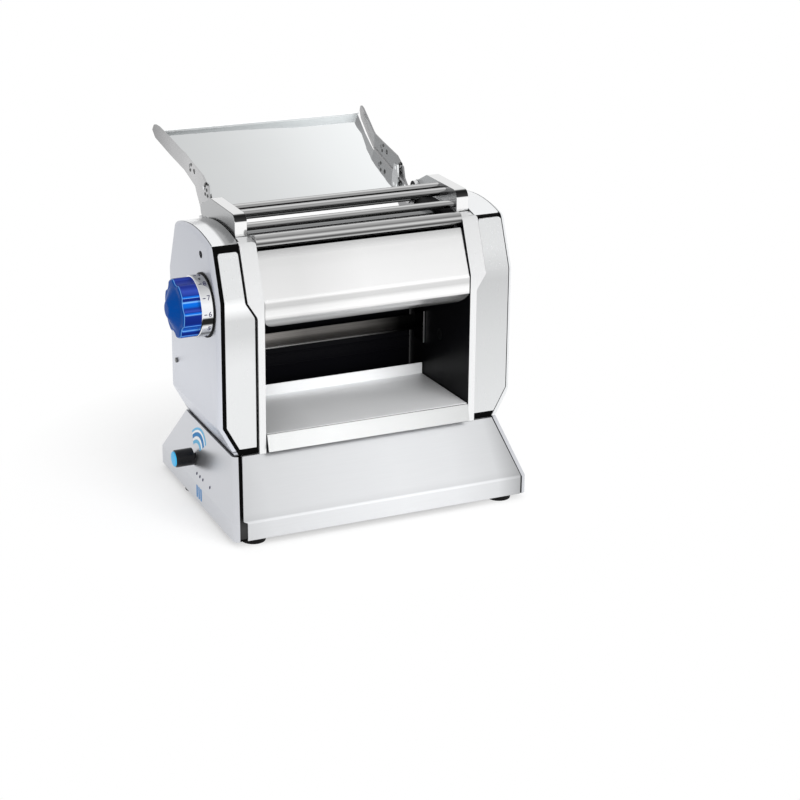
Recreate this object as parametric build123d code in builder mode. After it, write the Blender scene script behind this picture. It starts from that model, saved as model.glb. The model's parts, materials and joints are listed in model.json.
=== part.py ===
from build123d import *
import math
import os

# Electric pasta maker: a sheet-metal base with the motor, two gear housings on it,
# and a pair of smooth rollers between two side frames.
# X runs along the rollers, Y to the back and Z up, and the feet stand on Z = 0.
# Pieces are drawn from the middle of the base and written with the origin below the
# middle of the whole machine. All sizes are in millimetres.

# ---- overall sizes ----
frame_gap = 220.0                # clear width between the two side frames
frame_thickness = 7.0
frame_head_thickness = 17.0      # the frame is thicker where it carries the rollers
foot_height = 5.9
base_height = 77.0               # top of the base deck
skirt_height = 24.5              # where the upright skirt ends and the slopes begin
slope_depth = 41.0               # how far the base reaches beyond its deck, front and back
housing_half_depth = 72.0
housing_corner_y = 51.0

# Everything above the base is measured from its deck.
housing_shoulder_height = base_height + 158.0    # the upright front begins to slant here
housing_corner_height = base_height + 209.0
housing_crown_height = base_height + 216.6

# ---- sheet metal ----
sheet = 1.5
liner_sheet = 1.5
seat = 0.1                       # clearance between pieces that are screwed together
running = 0.05                   # radial clearance of a shaft in its hole
corner_radius = 6.0
left_seam = 4.2                  # open joint between two covers on the gauge side
right_seam = 1.0
left_frame_seam = 2.0            # open joint between a front cover and its frame
right_frame_seam = 0.6
beyond = 400.0                   # a length that reaches past every piece

# ---- base ----
base_plate_thickness = 2.0
side_panel_return = 5.5          # how far a side panel wraps round to the front
left_skirt_gap = 8.0             # the front sheet's skirt ends this far from the side panel
right_skirt_gap = 1.5
front_return = 7.0               # how far the front sheet folds over the deck
foot_radius = 13.0
foot_front = (134.0, -99.0)
foot_rear = (143.5, 42.0)
base_seal_width = 23.0
base_seal_thickness = 2.0

# ---- housing ----
front_cover_bottom = base_height + 7.0
side_cover_bottom = base_height + 1.5
cover_chamfer_height = base_height + 31.0    # lower edge of the upright side face
cover_chamfer_foot = base_height + 5.0       # where the slanted side would reach its full width
cover_chamfer_width = 14.0
side_seam_offset = 4.0           # the side cover's bend, measured from its face
cover_corner_radius = 5.0
cover_tip_radius = 3.0
housing_bend_radius = 7.0
left_cover_top = base_height + 202.5
right_cover_top = base_height + 206.5
left_cap_half_depth = 47.5
right_cap_half_depth = 46.0
cap_seam = 0.8                   # between a top cover and its side cover
step_low = base_height + 140.0   # the frame widens between these two heights
step_high = base_height + 156.0
step_radius = 8.0
cover_slot = (-29.0, base_height + 196.5)
cover_slot_length = 9.0
cover_slot_height = 7.0
cover_screw_place = (53.0, base_height + 62.0)
cover_screw_radius = 2.6
cover_screw_height = 1.2

# ---- side frames ----
frame_front_y = -housing_half_depth - 2.0
frame_rear_y = housing_half_depth
hook_y = -50.0
hook_height = base_height + 209.5
hook_radius = 4.0
shelf_height = base_height + 209.5   # the guard brackets hang over this shelf
lip_height = base_height + 215.0
lip_thickness = 1.7

# ---- rollers ----
roller_radius = 19.5
roller_end_room = 5.0            # between a roller's end and the frame
roller_length = frame_gap - 2 * roller_end_room
roller_gap = 1.5
rear_roller_y = 10.5
roller_z = base_height + 184.5
shoulder_radius = 10.0
journal_radius = 8.0
bushing_wall = 3.0
end_play = 0.2

# ---- gap setting ----
gauge_y = -37.0
gauge_z = base_height + 148.0
gauge_shaft_radius = 5.0
gauge_low = -90.0                # degrees, towards the thinnest sheet
gauge_high = 180.0               # degrees, towards the thickest sheet
gap_per_step = 0.35
degrees_per_step = 30.0
cam_mid_radius = 9.0
cam_width = 3.5
cam_play = 0.15
block_half_width = 14.0
block_half_height = 14.0
drum_radius = 30.5
drum_play = 0.4
drum_width = 12.6
drum_wall = 3.0
knob_radius = 29.0
knob_width = 18.0
knob_lobes = 6
knob_hollow_radius = 12.0
knob_hollow_depth = 3.5
knob_turn = 39.0                 # degrees at which the first hollow stands
knob_dome_radius = 21.0
knob_boss_radius = 7.0
knob_boss_height = 7.5

# ---- gears ----
long_tooth_count = 14
train_module = 2.5
pinion_teeth = 12
idler_teeth = 26
drive_teeth = 16
gear_width = 7.0
gear_gap = 0.4                   # between the cam plate and the gears
axle_radius = 6.0
middle_idler_y = -5.0
middle_idler_share = 0.49        # how far up it stands between the motor and the rollers
axle_end = 1.2
axle_room = 1.6                  # between the axles and the housing's liner
pressure_angle = 20.0
train_backlash = 0.30
long_backlash = 1.20

# ---- motor ----
motor_room = 2.8                 # above and below the motor
motor_length = 120.0
gearbox_length = 60.0
gearbox_half_depth = 31.0
gearbox_right = 112.0
gearbox_bore_depth = 24.0
pinion_shaft_depth = 20.0
gland_x = -105.0
gland_z = 15.5
gland_radius = 7.0
gland_bore = 3.4
gland_length = 9.0

# ---- selector ----
selector_y = 19.0
selector_z = skirt_height + 21.5
selector_radius = 9.0
selector_length = 19.0
selector_stem_radius = 3.0
switch_size = 24.0
switch_depth = 18.0

# ---- panels between the frames ----
panel_play = 0.8                 # between a panel's end and the frame
panel_half_length = frame_gap / 2 - panel_play
front_panel_y = frame_front_y + 1.0
front_panel_low = base_height + 127.0
front_panel_bend = base_height + 153.0
front_panel_top = (-52.0, base_height + 200.0)
front_panel_return = 7.0         # the lower edge is folded this far inwards
front_panel_return_rise = 10.0
panel_corner_radius = 11.0
front_bar_y = -46.0
front_bar_z = base_height + 208.0
front_bar_radius = 6.75
rear_panel_play = 2.5
rear_panel_half_length = frame_gap / 2 - rear_panel_play
rear_panel_y = 69.0
rear_panel_top = base_height + 191.0
rear_rib_heights = (base_height + 36.0, base_height + 48.0)
rear_rib_radius = 1.0
tie_rod_radius = 4.0
upper_rod_z = base_height + 128.0

# ---- outlet ----
outlet_rear_y = 34.0
outlet_rear_z = base_height + 16.4
outlet_front_y = -75.0
outlet_front_z = base_height + 20.0
outlet_lip_height = 12.0
apron_y = -80.0
apron_z = base_height + 3.0
apron_bend_radius = 5.0
deflector_low = base_height + 61.0
deflector_high = base_height + 78.0
deflector_y = 50.0
deflector_wing_y = 30.0          # the ends are bent forward to here, against the frames
deflector_wing_low = base_height + 52.0
deflector_wing_high = base_height + 87.0
hem_radius = 1.5
scraper_reach = 6.0              # the blade's tip lies this far in front of the roller's axis
scraper_length = 26.0
scraper_drop = 5.2
scraper_bar = 6.0
scraper_play = 0.8

# ---- guard ----
guard_step = 2.0                 # a bracket's inner face lies this far behind the frame's
guard_width = 13.0
guard_inner = frame_gap / 2 + guard_step
guard_outer = guard_inner + guard_width
guard_front_y = -35.0
guard_height = base_height + 233.0
guard_floor = base_height + 210.0
guard_pivot = (58.0, base_height + 215.0)
left_guard_gap = 2.4             # between the bracket and the top cover
right_guard_gap = 0.9
guard_end_radius = 7.8
guard_pin_radius = 3.0
guard_rod_radius = 4.0
guard_rods = ((8.0, base_height + 228.0), (-10.0, base_height + 227.0),
              (-28.0, base_height + 218.5))
ear_radius = 7.0
ear_step = 3.0                   # the hinge ears stand out this far from the frame
ear_inner = frame_gap / 2 - ear_step

# ---- feed tray ----
tray_play = 4.0                  # between the tray's edge and the frame
tray_half_length = frame_gap / 2 - tray_play
tray_sheet = 1.2
tray_rise = ((40.0, 207.0), (87.0, 216.0), (123.0, 224.0), (163.0, 235.0),
             (190.0, 244.0), (221.0, 258.0), (217.0, 261.0))    # its end is folded back
flare_start_y = 160.0            # the tray and its arms widen from here to the tip
tray_flare = 9.0
arm_play = 1.9                   # between the tray's edge and its arm
arm_inner = tray_half_length + arm_play
arm_foot_z = base_height + 161.0     # lowest point of the arm, against the frame
arm_tip_y = 228.0
arm_flare = 12.0
arm_thickness = 2.0
arm_rise = ((56.0, 163.0), (74.0, 161.0), (105.0, 198.0), (120.0, 215.0), (125.0, 222.0),
            (163.0, 232.5), (190.0, 241.5), (222.0, 253.5), (228.0, 261.0), (224.0, 268.0),
            (214.0, 267.0), (195.0, 261.0), (167.0, 251.5), (141.0, 246.0), (102.0, 239.0),
            (86.5, 230.0), (83.0, 219.0), (72.0, 209.0), (62.0, 207.2), (57.0, 202.0))
arm_holes = ((142.0, base_height + 240.0), (127.0, base_height + 236.5))
arm_hole_radius = 2.0
tray_pivot = (66.0, base_height + 202.0)
tray_pin_radius = 3.0
tray_lug_radius = 6.0
tray_lug_thickness = 2.0
slot_low = (96.0, base_height + 227.5)
slot_width = 4.6
slot_pin_radius = 2.0
tray_tilt = 28.0                 # degrees that the slot lets the tray rise

# ---- worked out from the sizes above ----
frame_inner = frame_gap / 2
frame_outer = frame_inner + frame_thickness
head_outer = frame_inner + frame_head_thickness
roller_pitch = 2 * roller_radius + roller_gap
front_roller_y = rear_roller_y - roller_pitch
long_module = roller_pitch / long_tooth_count
gap_per_degree = gap_per_step / degrees_per_step
travel_out = gap_per_degree * gauge_high
travel_in = -gap_per_degree * gauge_low
cam_inner = head_outer + 0.2
cam_outer = cam_inner + cam_width
gear_inner = cam_outer + gear_gap
gear_outer = gear_inner + gear_width
axle_tip_x = gear_outer + axle_end
housing_half_length = axle_tip_x + axle_room + liner_sheet + seat + sheet + cover_chamfer_width
base_half_length = housing_half_length + 0.5
deck_half_length = base_half_length - cover_chamfer_width
chamfer_slope = cover_chamfer_width / (cover_chamfer_height - cover_chamfer_foot)
deck_half_depth = housing_half_depth + 1.0
base_half_depth = deck_half_depth + slope_depth
skirt_seam_x = base_half_length - side_panel_return
deck_seam_x = deck_half_length - side_panel_return
side_seam_x = housing_half_length - side_seam_offset
base_seal_x = deck_seam_x + 1.0
plate_top = foot_height + base_plate_thickness
motor_radius = (base_height - sheet - plate_top) / 2 - motor_room
motor_axis_z = plate_top + motor_room + motor_radius
middle_idler = (middle_idler_y, motor_axis_z + middle_idler_share * (roller_z - motor_axis_z))
tray_profile = [(y, base_height + rise) for y, rise in tray_rise]
arm_outline = [(y, base_height + rise) for y, rise in arm_rise]
drum_left = -housing_half_length - drum_play - drum_width
knob_tip_x = drum_left - knob_width - knob_boss_height
middle_x = (housing_half_length + cover_screw_height + knob_tip_x) / 2
middle_y = (arm_tip_y - base_half_depth) / 2

os.makedirs("parts", exist_ok=True)


def save(piece, name):
    """Move a finished piece to the shared origin, label it and write its file."""
    with BuildPart() as placed:
        with Locations((-middle_x, -middle_y, 0.0)):
            add(piece.part)
    placed.part.label = name
    export_step(placed.part, f"parts/{name}.step")


def save_side(right, side, name):
    """Write a piece drawn on the right, mirrored first when it belongs on the left."""
    with BuildPart() as placed:
        if side == "left":
            mirror(right.part, about=Plane.YZ)
        else:
            add(right.part)
    save(placed, f"{side}_{name}")


def save_pair(right, name):
    """Write a right-hand piece and its mirror image."""
    save_side(right, "right", name)
    save_side(right, "left", name)


def along_x(x_start, length, *centres, radius):
    """Add round bars that run along X through the given (y, z) centres."""
    with BuildSketch(Plane.YZ.offset(x_start)) as ends:
        with Locations(*centres):
            Circle(radius)
    extrude(ends.sketch, amount=length)


def bore_x(x_start, length, *centres, radius):
    """Cut round holes that run along X through the given (y, z) centres."""
    with BuildSketch(Plane.YZ.offset(x_start)) as ends:
        with Locations(*centres):
            Circle(radius)
    extrude(ends.sketch, amount=length, mode=Mode.SUBTRACT)


def cut_box(x_range, y_range, z_range, mode=Mode.SUBTRACT):
    """Cut away the box between three pairs of limits."""
    with BuildSketch(Plane.XY.offset(z_range[0])) as floor:
        with Locations((sum(x_range) / 2, sum(y_range) / 2)):
            Rectangle(x_range[1] - x_range[0], y_range[1] - y_range[0])
    extrude(floor.sketch, amount=z_range[1] - z_range[0], mode=mode)


def keep_box(x_range, y_range, z_range):
    """Keep only what lies inside the box between three pairs of limits."""
    cut_box(x_range, y_range, z_range, mode=Mode.INTERSECT)


def add_box(x_range, y_range, z_range):
    """Add the box between three pairs of limits."""
    cut_box(x_range, y_range, z_range, mode=Mode.ADD)


def keep_view(plane, *points):
    """Keep only what lies inside an outline drawn on a plane."""
    with BuildSketch(plane) as outline:
        with BuildLine():
            Polyline(*points, close=True)
        make_face()
    extrude(outline.sketch, amount=beyond, both=True, mode=Mode.INTERSECT)


# ---------------------------------------------------------------- gear train places

def meet(first, first_reach, second, second_reach, side):
    """The point at two given distances from two centres, on the chosen side."""
    gap_y = second[0] - first[0]
    gap_z = second[1] - first[1]
    span = math.hypot(gap_y, gap_z)
    along = (first_reach ** 2 - second_reach ** 2 + span ** 2) / (2 * span)
    across = side * math.sqrt(first_reach ** 2 - along ** 2)
    return (first[0] + (along * gap_y - across * gap_z) / span,
            first[1] + (along * gap_z + across * gap_y) / span)


def centre_distance(teeth_a, teeth_b):
    """Centre distance of two train gears in mesh."""
    return train_module * (teeth_a + teeth_b) / 2


motor_axis = (0.0, motor_axis_z)
gauge_axis = (gauge_y, gauge_z)
rear_roller_axis = (rear_roller_y, roller_z)
front_roller_axis = (front_roller_y, roller_z)
lower_idler = meet(motor_axis, centre_distance(pinion_teeth, idler_teeth),
                   middle_idler, centre_distance(idler_teeth, idler_teeth), 1)
upper_idler = meet(middle_idler, centre_distance(idler_teeth, idler_teeth),
                   rear_roller_axis, centre_distance(idler_teeth, drive_teeth), -1)
idler_axes = (lower_idler, middle_idler, upper_idler)
idler_radius = train_module * (idler_teeth / 2 + 1)


# ---------------------------------------------------------------- base shell

def base_block(inset, bottom):
    """The base's solid envelope, with its walls and top drawn in by inset."""
    radius = max(corner_radius - inset, 1.5)
    skirt = (2 * (base_half_length - inset), 2 * (base_half_depth - inset))
    deck = (2 * (deck_half_length - inset), 2 * (deck_half_depth - inset))
    with BuildPart() as block:
        with BuildSketch(Plane.XY.offset(bottom)):
            RectangleRounded(*skirt, radius)
        extrude(amount=skirt_height - bottom)
        with BuildSketch(Plane.XY.offset(skirt_height)):
            RectangleRounded(*skirt, radius)
        with BuildSketch(Plane.XY.offset(base_height - inset)):
            RectangleRounded(*deck, radius)
        loft(ruled=True)
    return block.part


def base_shell(outer_inset, thickness, bottom):
    """A thin hollow layer of the base's envelope, open underneath."""
    with BuildPart() as shell:
        add(base_block(outer_inset, bottom))
        add(base_block(outer_inset + thickness, bottom - 1.0), mode=Mode.SUBTRACT)
    return shell.part


def deck_opening():
    """Cut the slot through which the lowest idler gear rises into the housing."""
    reach = idler_radius + 5.0
    cut_box((gear_inner - 1.0, gear_outer + 1.0), (lower_idler[0] - reach, lower_idler[0] + reach),
            (base_height - motor_radius, beyond))


with BuildPart() as side_panel:
    add(base_shell(0.0, sheet, foot_height))
    keep_view(Plane.XZ, (skirt_seam_x, 0.0), (skirt_seam_x, skirt_height),
              (deck_seam_x, base_height), (deck_seam_x, beyond), (beyond, beyond), (beyond, 0.0))
with BuildPart() as left_base_panel:
    mirror(side_panel.part, about=Plane.YZ)
    bore_x(-base_half_length - 5.0, 30.0, (selector_y, selector_z),
           radius=selector_stem_radius + 0.4)
save(side_panel, "right_base_panel")
save(left_base_panel, "left_base_panel")


def base_sheet_edge(side, seam, skirt_gap):
    """One end of the front base sheet, from the ground up; side is -1 or 1."""
    return [(side * (skirt_seam_x - skirt_gap), 0.0),
            (side * (skirt_seam_x - skirt_gap), skirt_height),
            (side * (skirt_seam_x - seam), skirt_height + sheet),
            (side * (deck_seam_x - seam), base_height),
            (side * (deck_seam_x - seam), beyond)]


left_edge = base_sheet_edge(-1, left_seam, left_skirt_gap)
right_edge = base_sheet_edge(1, right_seam, right_skirt_gap)
with BuildPart() as front_base_panel:
    add(base_shell(0.0, sheet, foot_height))
    keep_view(Plane.XZ, *left_edge, *reversed(right_edge))
    keep_box((-beyond, beyond), (-beyond, front_return - deck_half_depth), (0.0, beyond))
save(front_base_panel, "front_base_panel")

with BuildPart() as rear_base_panel:
    mirror(front_base_panel.part, about=Plane.XZ)
save(rear_base_panel, "rear_base_panel")

deck_half_y = deck_half_depth - front_return - 0.6
with BuildPart() as base_deck:
    add_box((left_seam - deck_seam_x, deck_seam_x - right_seam), (-deck_half_y, deck_half_y),
            (base_height - sheet, base_height))
    deck_opening()
save(base_deck, "base_deck")

# dark inner hoops that back the joints between the base's panels
seal_foot_x = base_seal_x + skirt_seam_x - deck_seam_x
seal_inner_x = base_seal_x - base_seal_width
with BuildPart() as base_seal:
    add(base_shell(sheet + seat, base_seal_thickness, plate_top + seat))
    keep_view(Plane.XZ, (seal_inner_x, 0.0), (seal_inner_x, beyond), (base_seal_x, beyond),
              (base_seal_x, base_height), (seal_foot_x, skirt_height), (seal_foot_x, 0.0))
    deck_opening()
save_pair(base_seal, "base_seal")

with BuildPart() as base_plate:
    with BuildSketch(Plane.XY.offset(foot_height)):
        RectangleRounded(2 * (base_half_length - sheet - seat),
                         2 * (base_half_depth - sheet - seat), corner_radius - sheet)
    extrude(amount=base_plate_thickness)
save(base_plate, "base_plate")

foot_places = [(side * x, y) for x, y in (foot_front, foot_rear) for side in (-1, 1)]
with BuildPart() as rubber_feet:
    for place in foot_places:
        with BuildSketch(Plane.XY):
            with Locations(place):
                Circle(foot_radius - 1.0)
        with BuildSketch(Plane.XY.offset(foot_height)):
            with Locations(place):
                Circle(foot_radius)
        loft(ruled=True)
save(rubber_feet, "rubber_feet")


# ---------------------------------------------------------------- motor and selector

with BuildPart() as gearbox:
    add_box((gearbox_right - gearbox_length, gearbox_right),
            (-gearbox_half_depth, gearbox_half_depth), (plate_top, motor_axis_z + motor_radius))
    fillet(gearbox.edges().filter_by(Axis.X), radius=6.0)
    bore_x(gearbox_right - gearbox_bore_depth, beyond, motor_axis, radius=axle_radius + running)
save(gearbox, "gearbox")

motor_right = gearbox_right - gearbox_length
with BuildPart() as motor:
    along_x(motor_right - motor_length, motor_length, motor_axis, radius=motor_radius)
    fillet(motor.edges().sort_by(Axis.X)[0], radius=5.0)
save(motor, "motor")

with BuildPart() as cord_gland:
    with BuildSketch(Plane.XZ.offset(-base_half_depth)):
        with Locations((gland_x, gland_z)):
            Circle(gland_radius)
            Circle(gland_bore, mode=Mode.SUBTRACT)
    extrude(amount=-gland_length)
save(cord_gland, "cord_gland")

panel_slope = (base_half_length - deck_half_length) / (base_height - skirt_height)
panel_x_at_knob = base_half_length - panel_slope * (selector_z - skirt_height)
switch_right = -(panel_x_at_knob - panel_slope * switch_size / 2 - sheet) + 1.6
with BuildPart() as selector_switch:
    with BuildSketch(Plane.YZ.offset(switch_right)):
        with Locations((selector_y, selector_z)):
            Rectangle(switch_size, switch_size)
    extrude(amount=switch_depth)
    bore_x(switch_right, 10.0, (selector_y, selector_z), radius=selector_stem_radius + running)
save(selector_switch, "selector_switch")

selector_foot = -(panel_x_at_knob + panel_slope * selector_radius + 0.4)
with BuildPart() as selector_knob:
    along_x(selector_foot - selector_length, selector_length, (selector_y, selector_z),
            radius=selector_radius)
    fillet(selector_knob.edges().sort_by(Axis.X)[0], radius=1.5)
    along_x(selector_foot, switch_right + 9.0 - selector_foot, (selector_y, selector_z),
            radius=selector_stem_radius)
save(selector_knob, "selector_knob")


# ---------------------------------------------------------------- side frames

with BuildPart() as side_frame:
    with BuildSketch(Plane.YZ.offset(frame_inner)):
        with BuildLine():
            Polyline((guard_pivot[0] + 6.0, shelf_height - 1.0), (frame_rear_y, housing_shoulder_height),
                     (frame_rear_y, base_height + seat), (frame_front_y, base_height + seat),
                     (frame_front_y, step_high), (hook_y - hook_radius, hook_height - 5.0))
            RadiusArc((hook_y - hook_radius, hook_height - 5.0), (hook_y + 2.0, hook_height),
                      hook_radius + 1.5)
            ThreePointArc((hook_y + 2.0, hook_height), (rear_roller_y, lip_height),
                          (guard_pivot[0] + 6.0, shelf_height - 1.0))
        make_face()
    extrude(amount=frame_head_thickness)
    # below the head the plate is thin, with a curved step between the two
    with BuildSketch(Plane.XZ):
        with BuildLine():
            Polyline((frame_outer, 0.0), (frame_outer, step_low),
                     (head_outer, step_high), (head_outer + 1.0, step_high),
                     (head_outer + 1.0, 0.0), close=True)
        make_face()
        fillet(vertices().filter_by(lambda v: abs(v.Y - step_low) < 0.01), radius=step_radius)
    extrude(amount=beyond, both=True, mode=Mode.SUBTRACT)
    # shelf under the guard's bracket, and room for the bracket's rounded end
    cut_box((frame_inner + lip_thickness, beyond), (guard_front_y - 2.0, beyond),
            (shelf_height, beyond))
    cut_box((guard_outer, beyond), (hook_y + 4.0, beyond), (shelf_height - 1.5, beyond))
    bore_x(frame_inner + lip_thickness, beyond, guard_pivot, radius=guard_end_radius + 0.8)
    along_x(ear_inner, frame_inner + lip_thickness - ear_inner, guard_pivot, radius=ear_radius)
    bore_x(0.0, beyond, guard_pivot, radius=guard_pin_radius)
    # window for the sliding bearing block of the front roller
    window_front = front_roller_y - block_half_width - travel_out - 0.3
    window_rear = front_roller_y + block_half_width + travel_in + 0.3
    cut_box((0.0, beyond), (window_front, window_rear),
            (roller_z - block_half_height - running, roller_z + block_half_height + running))
    bore_x(0.0, beyond, rear_roller_axis, radius=journal_radius + bushing_wall)
    bore_x(0.0, beyond, gauge_axis, radius=gauge_shaft_radius + running)


with BuildPart() as right_frame:
    add(side_frame.part)
    bore_x(0.0, beyond, *idler_axes, radius=axle_radius)
save(right_frame, "right_frame")
save_side(side_frame, "left", "frame")

with BuildPart() as idler_axles:
    along_x(frame_inner, axle_tip_x - frame_inner, *idler_axes, radius=axle_radius)
save(idler_axles, "idler_axles")


# ---------------------------------------------------------------- housings

def housing_block(inset, bottom):
    """The right housing's solid envelope, drawn in by inset, open to the frame."""
    low_x = housing_half_length - chamfer_slope * (cover_chamfer_height - bottom)
    with BuildPart() as block:
        with BuildSketch(Plane.YZ.offset(frame_outer + 0.3)):
            with BuildLine():
                crown = ThreePointArc((-housing_corner_y, housing_corner_height),
                                      (0.0, housing_crown_height),
                                      (housing_corner_y, housing_corner_height))
                Polyline(crown @ 1, (housing_half_depth, housing_shoulder_height),
                         (housing_half_depth, bottom - 2 * inset),
                         (-housing_half_depth, bottom - 2 * inset),
                         (-housing_half_depth, housing_shoulder_height), crown @ 0)
            make_face()
            fillet(vertices().filter_by(lambda v: abs(v.Y - housing_corner_height) < 1.0
                                        or abs(v.Y - housing_shoulder_height) < 1.0),
                   radius=housing_bend_radius)
            if inset > 0:
                offset(amount=-inset, kind=Kind.INTERSECTION)
        extrude(amount=housing_half_length - inset - frame_outer - 0.3)
        outline = block.edges().group_by(Axis.X)[-1]
        fillet(outline, radius=max(cover_corner_radius - inset, 1.0))
        keep_view(Plane.XZ, (frame_outer, 0.0), (frame_outer, beyond),
                  (housing_half_length - inset, beyond),
                  (housing_half_length - inset, cover_chamfer_height),
                  (low_x - inset, bottom), (low_x - inset, 0.0))
    return block.part


def housing_shell(outer_inset, thickness, bottom):
    """A thin hollow layer of the housing's envelope."""
    with BuildPart() as shell:
        add(housing_block(outer_inset, bottom))
        add(housing_block(outer_inset + thickness, bottom - 6.0), mode=Mode.SUBTRACT)
        keep_box((0.0, beyond), (-beyond, beyond), (bottom, beyond))
    return shell.part


def chamfer_x(outer, height):
    """The slanted side's X at a height, for an edge that stands upright at outer above it."""
    return outer - chamfer_slope * (cover_chamfer_height - height)


with BuildPart() as side_cover:
    add(housing_shell(0.0, sheet, side_cover_bottom))
    low_x = chamfer_x(side_seam_x, side_cover_bottom)
    keep_view(Plane.XZ, (side_seam_x, beyond), (side_seam_x, cover_chamfer_height),
              (low_x, side_cover_bottom), (low_x, 0.0), (beyond, 0.0), (beyond, beyond))
save(side_cover, "right_side_cover")

with BuildPart() as left_side_cover:
    mirror(side_cover.part, about=Plane.YZ)
    bore_x(-beyond, beyond, gauge_axis, radius=gauge_shaft_radius + 1.0)
    with BuildSketch(Plane.YZ):
        with Locations(cover_slot):
            SlotOverall(cover_slot_length, cover_slot_height)
    extrude(amount=-beyond, mode=Mode.SUBTRACT)
save(left_side_cover, "left_side_cover")


def front_cover(seam, frame_seam, top):
    """The right housing's front sheet, kept clear of the frame and the side cover."""
    outer = side_seam_x - seam
    with BuildPart() as cover:
        add(housing_shell(0.0, sheet, front_cover_bottom))
        with BuildSketch(Plane.XZ):
            with BuildLine():
                Polyline((frame_outer + frame_seam, front_cover_bottom),
                         (frame_outer + frame_seam, step_low), (head_outer + frame_seam, step_high),
                         (head_outer + frame_seam, top), (outer, top),
                         (outer, cover_chamfer_height),
                         (chamfer_x(outer, front_cover_bottom), front_cover_bottom), close=True)
            make_face()
            fillet(vertices().filter_by(lambda v: min(abs(v.Y - step_low), abs(v.Y - step_high)) < 0.1),
                   radius=step_radius)
            fillet(vertices().filter_by(lambda v: abs(v.Y - top) < 0.1), radius=cover_tip_radius)
        extrude(amount=beyond, both=True, mode=Mode.INTERSECT)
        keep_box((0.0, beyond), (-beyond, -hook_radius), (0.0, beyond))
    return cover


def top_cover(guard_gap, half_depth, low):
    """The right housing's curved top sheet, outside the guard's bracket."""
    with BuildPart() as cover:
        add(housing_shell(0.0, sheet, front_cover_bottom))
        keep_box((guard_outer + guard_gap, side_seam_x - cap_seam), (-half_depth, half_depth),
                 (low, beyond))
    return cover


sides = {
    "left": (front_cover(left_seam, left_frame_seam, left_cover_top),
             top_cover(left_guard_gap, left_cap_half_depth, left_cover_top)),
    "right": (front_cover(right_seam, right_frame_seam, right_cover_top),
              top_cover(right_guard_gap, right_cap_half_depth, right_cover_top)),
}
for side, (front, top) in sides.items():
    save_side(front, side, "front_cover")
    with BuildPart() as rear:
        mirror(front.part, about=Plane.XZ)
    save_side(rear, side, "rear_cover")
    save_side(top, side, "top_cover")

liner_bottom = base_height + seat
with BuildPart() as housing_liner:
    add(housing_shell(sheet + seat, liner_sheet, liner_bottom))
    cut_box((0.0, head_outer + 0.2), (-beyond, beyond), (step_low - 3.0, beyond))
with BuildPart() as left_liner:
    mirror(housing_liner.part, about=Plane.YZ)
    bore_x(-beyond, beyond, gauge_axis, radius=gauge_shaft_radius + 1.0)
save(housing_liner, "right_housing_liner")
save(left_liner, "left_housing_liner")


# ---------------------------------------------------------------- between the frames

def sheet_between(points, thickness, half_length, side):
    """Add a bent sheet: a path in the YZ plane given its thickness, drawn along X."""
    with BuildSketch(Plane.YZ) as section:
        with BuildLine():
            Polyline(*points)
            offset(amount=thickness, side=side, kind=Kind.INTERSECTION)
        make_face()
    extrude(section.sketch, amount=half_length, both=True)


with BuildPart() as front_panel:
    sheet_between(((front_panel_y + front_panel_return, front_panel_low),
                   (front_panel_y, front_panel_low + front_panel_return_rise),
                   (front_panel_y, front_panel_bend), front_panel_top),
                  sheet, panel_half_length, Side.RIGHT)
    with BuildSketch(Plane.XZ):
        with BuildLine():
            Polyline((-panel_half_length, front_panel_low), (panel_half_length, front_panel_low),
                     (panel_half_length, front_panel_top[1] + 1.0),
                     (-panel_half_length, front_panel_top[1] + 1.0), close=True)
        make_face()
        fillet(vertices().group_by(Axis.Y)[0], radius=panel_corner_radius)
        fillet(vertices().group_by(Axis.Y)[-1], radius=4.0)
    extrude(amount=beyond, both=True, mode=Mode.INTERSECT)
save(front_panel, "front_panel")

with BuildPart() as rear_panel:
    for low, high, half_length in ((base_height + seat, arm_foot_z - 1.0, panel_half_length),
                                   (arm_foot_z - 1.0, rear_panel_top, rear_panel_half_length)):
        add_box((-half_length, half_length), (rear_panel_y - sheet, rear_panel_y), (low, high))
    # two pressed ribs along the panel
    along_x(-panel_half_length, 2 * panel_half_length,
            *[(rear_panel_y - sheet, height) for height in rear_rib_heights],
            radius=rear_rib_radius)
save(rear_panel, "rear_panel")

bar_half = frame_inner - end_play
with BuildPart() as front_bar:
    along_x(-bar_half, 2 * bar_half, (front_bar_y, front_bar_z), radius=front_bar_radius)
save(front_bar, "front_bar")


def outlet_floor(y):
    """Height of the outlet tray's floor at a given Y."""
    share = (outlet_rear_y - y) / (outlet_rear_y - outlet_front_y)
    return outlet_rear_z + share * (outlet_front_z - outlet_rear_z)


rod_drop = sheet + 0.25 + tie_rod_radius
front_rod = (-55.0, outlet_floor(-55.0) - rod_drop)
rear_rod = (25.0, outlet_floor(25.0) - rod_drop)
panel_rod = (front_panel_y + sheet + 0.2 + tie_rod_radius, front_panel_bend - 9.0)
upper_rod = (rear_panel_y - sheet - 0.2 - tie_rod_radius, upper_rod_z)
with BuildPart() as tie_rods:
    along_x(-bar_half, 2 * bar_half, front_rod, rear_rod, panel_rod, upper_rod,
            radius=tie_rod_radius)
save(tie_rods, "tie_rods")

with BuildPart() as outlet_tray:
    sheet_between(((outlet_rear_y, outlet_rear_z + outlet_lip_height),
                   (outlet_rear_y, outlet_rear_z), (outlet_front_y, outlet_front_z),
                   (apron_y, apron_z)), sheet, panel_half_length, Side.LEFT)
    bends = outlet_tray.edges().filter_by(Axis.X).filter_by(
        lambda e: abs(e.center().Y - outlet_front_y) < 3.0)
    fillet(bends.sort_by(Axis.Z)[-1], radius=apron_bend_radius)
save(outlet_tray, "outlet_tray")

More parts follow.
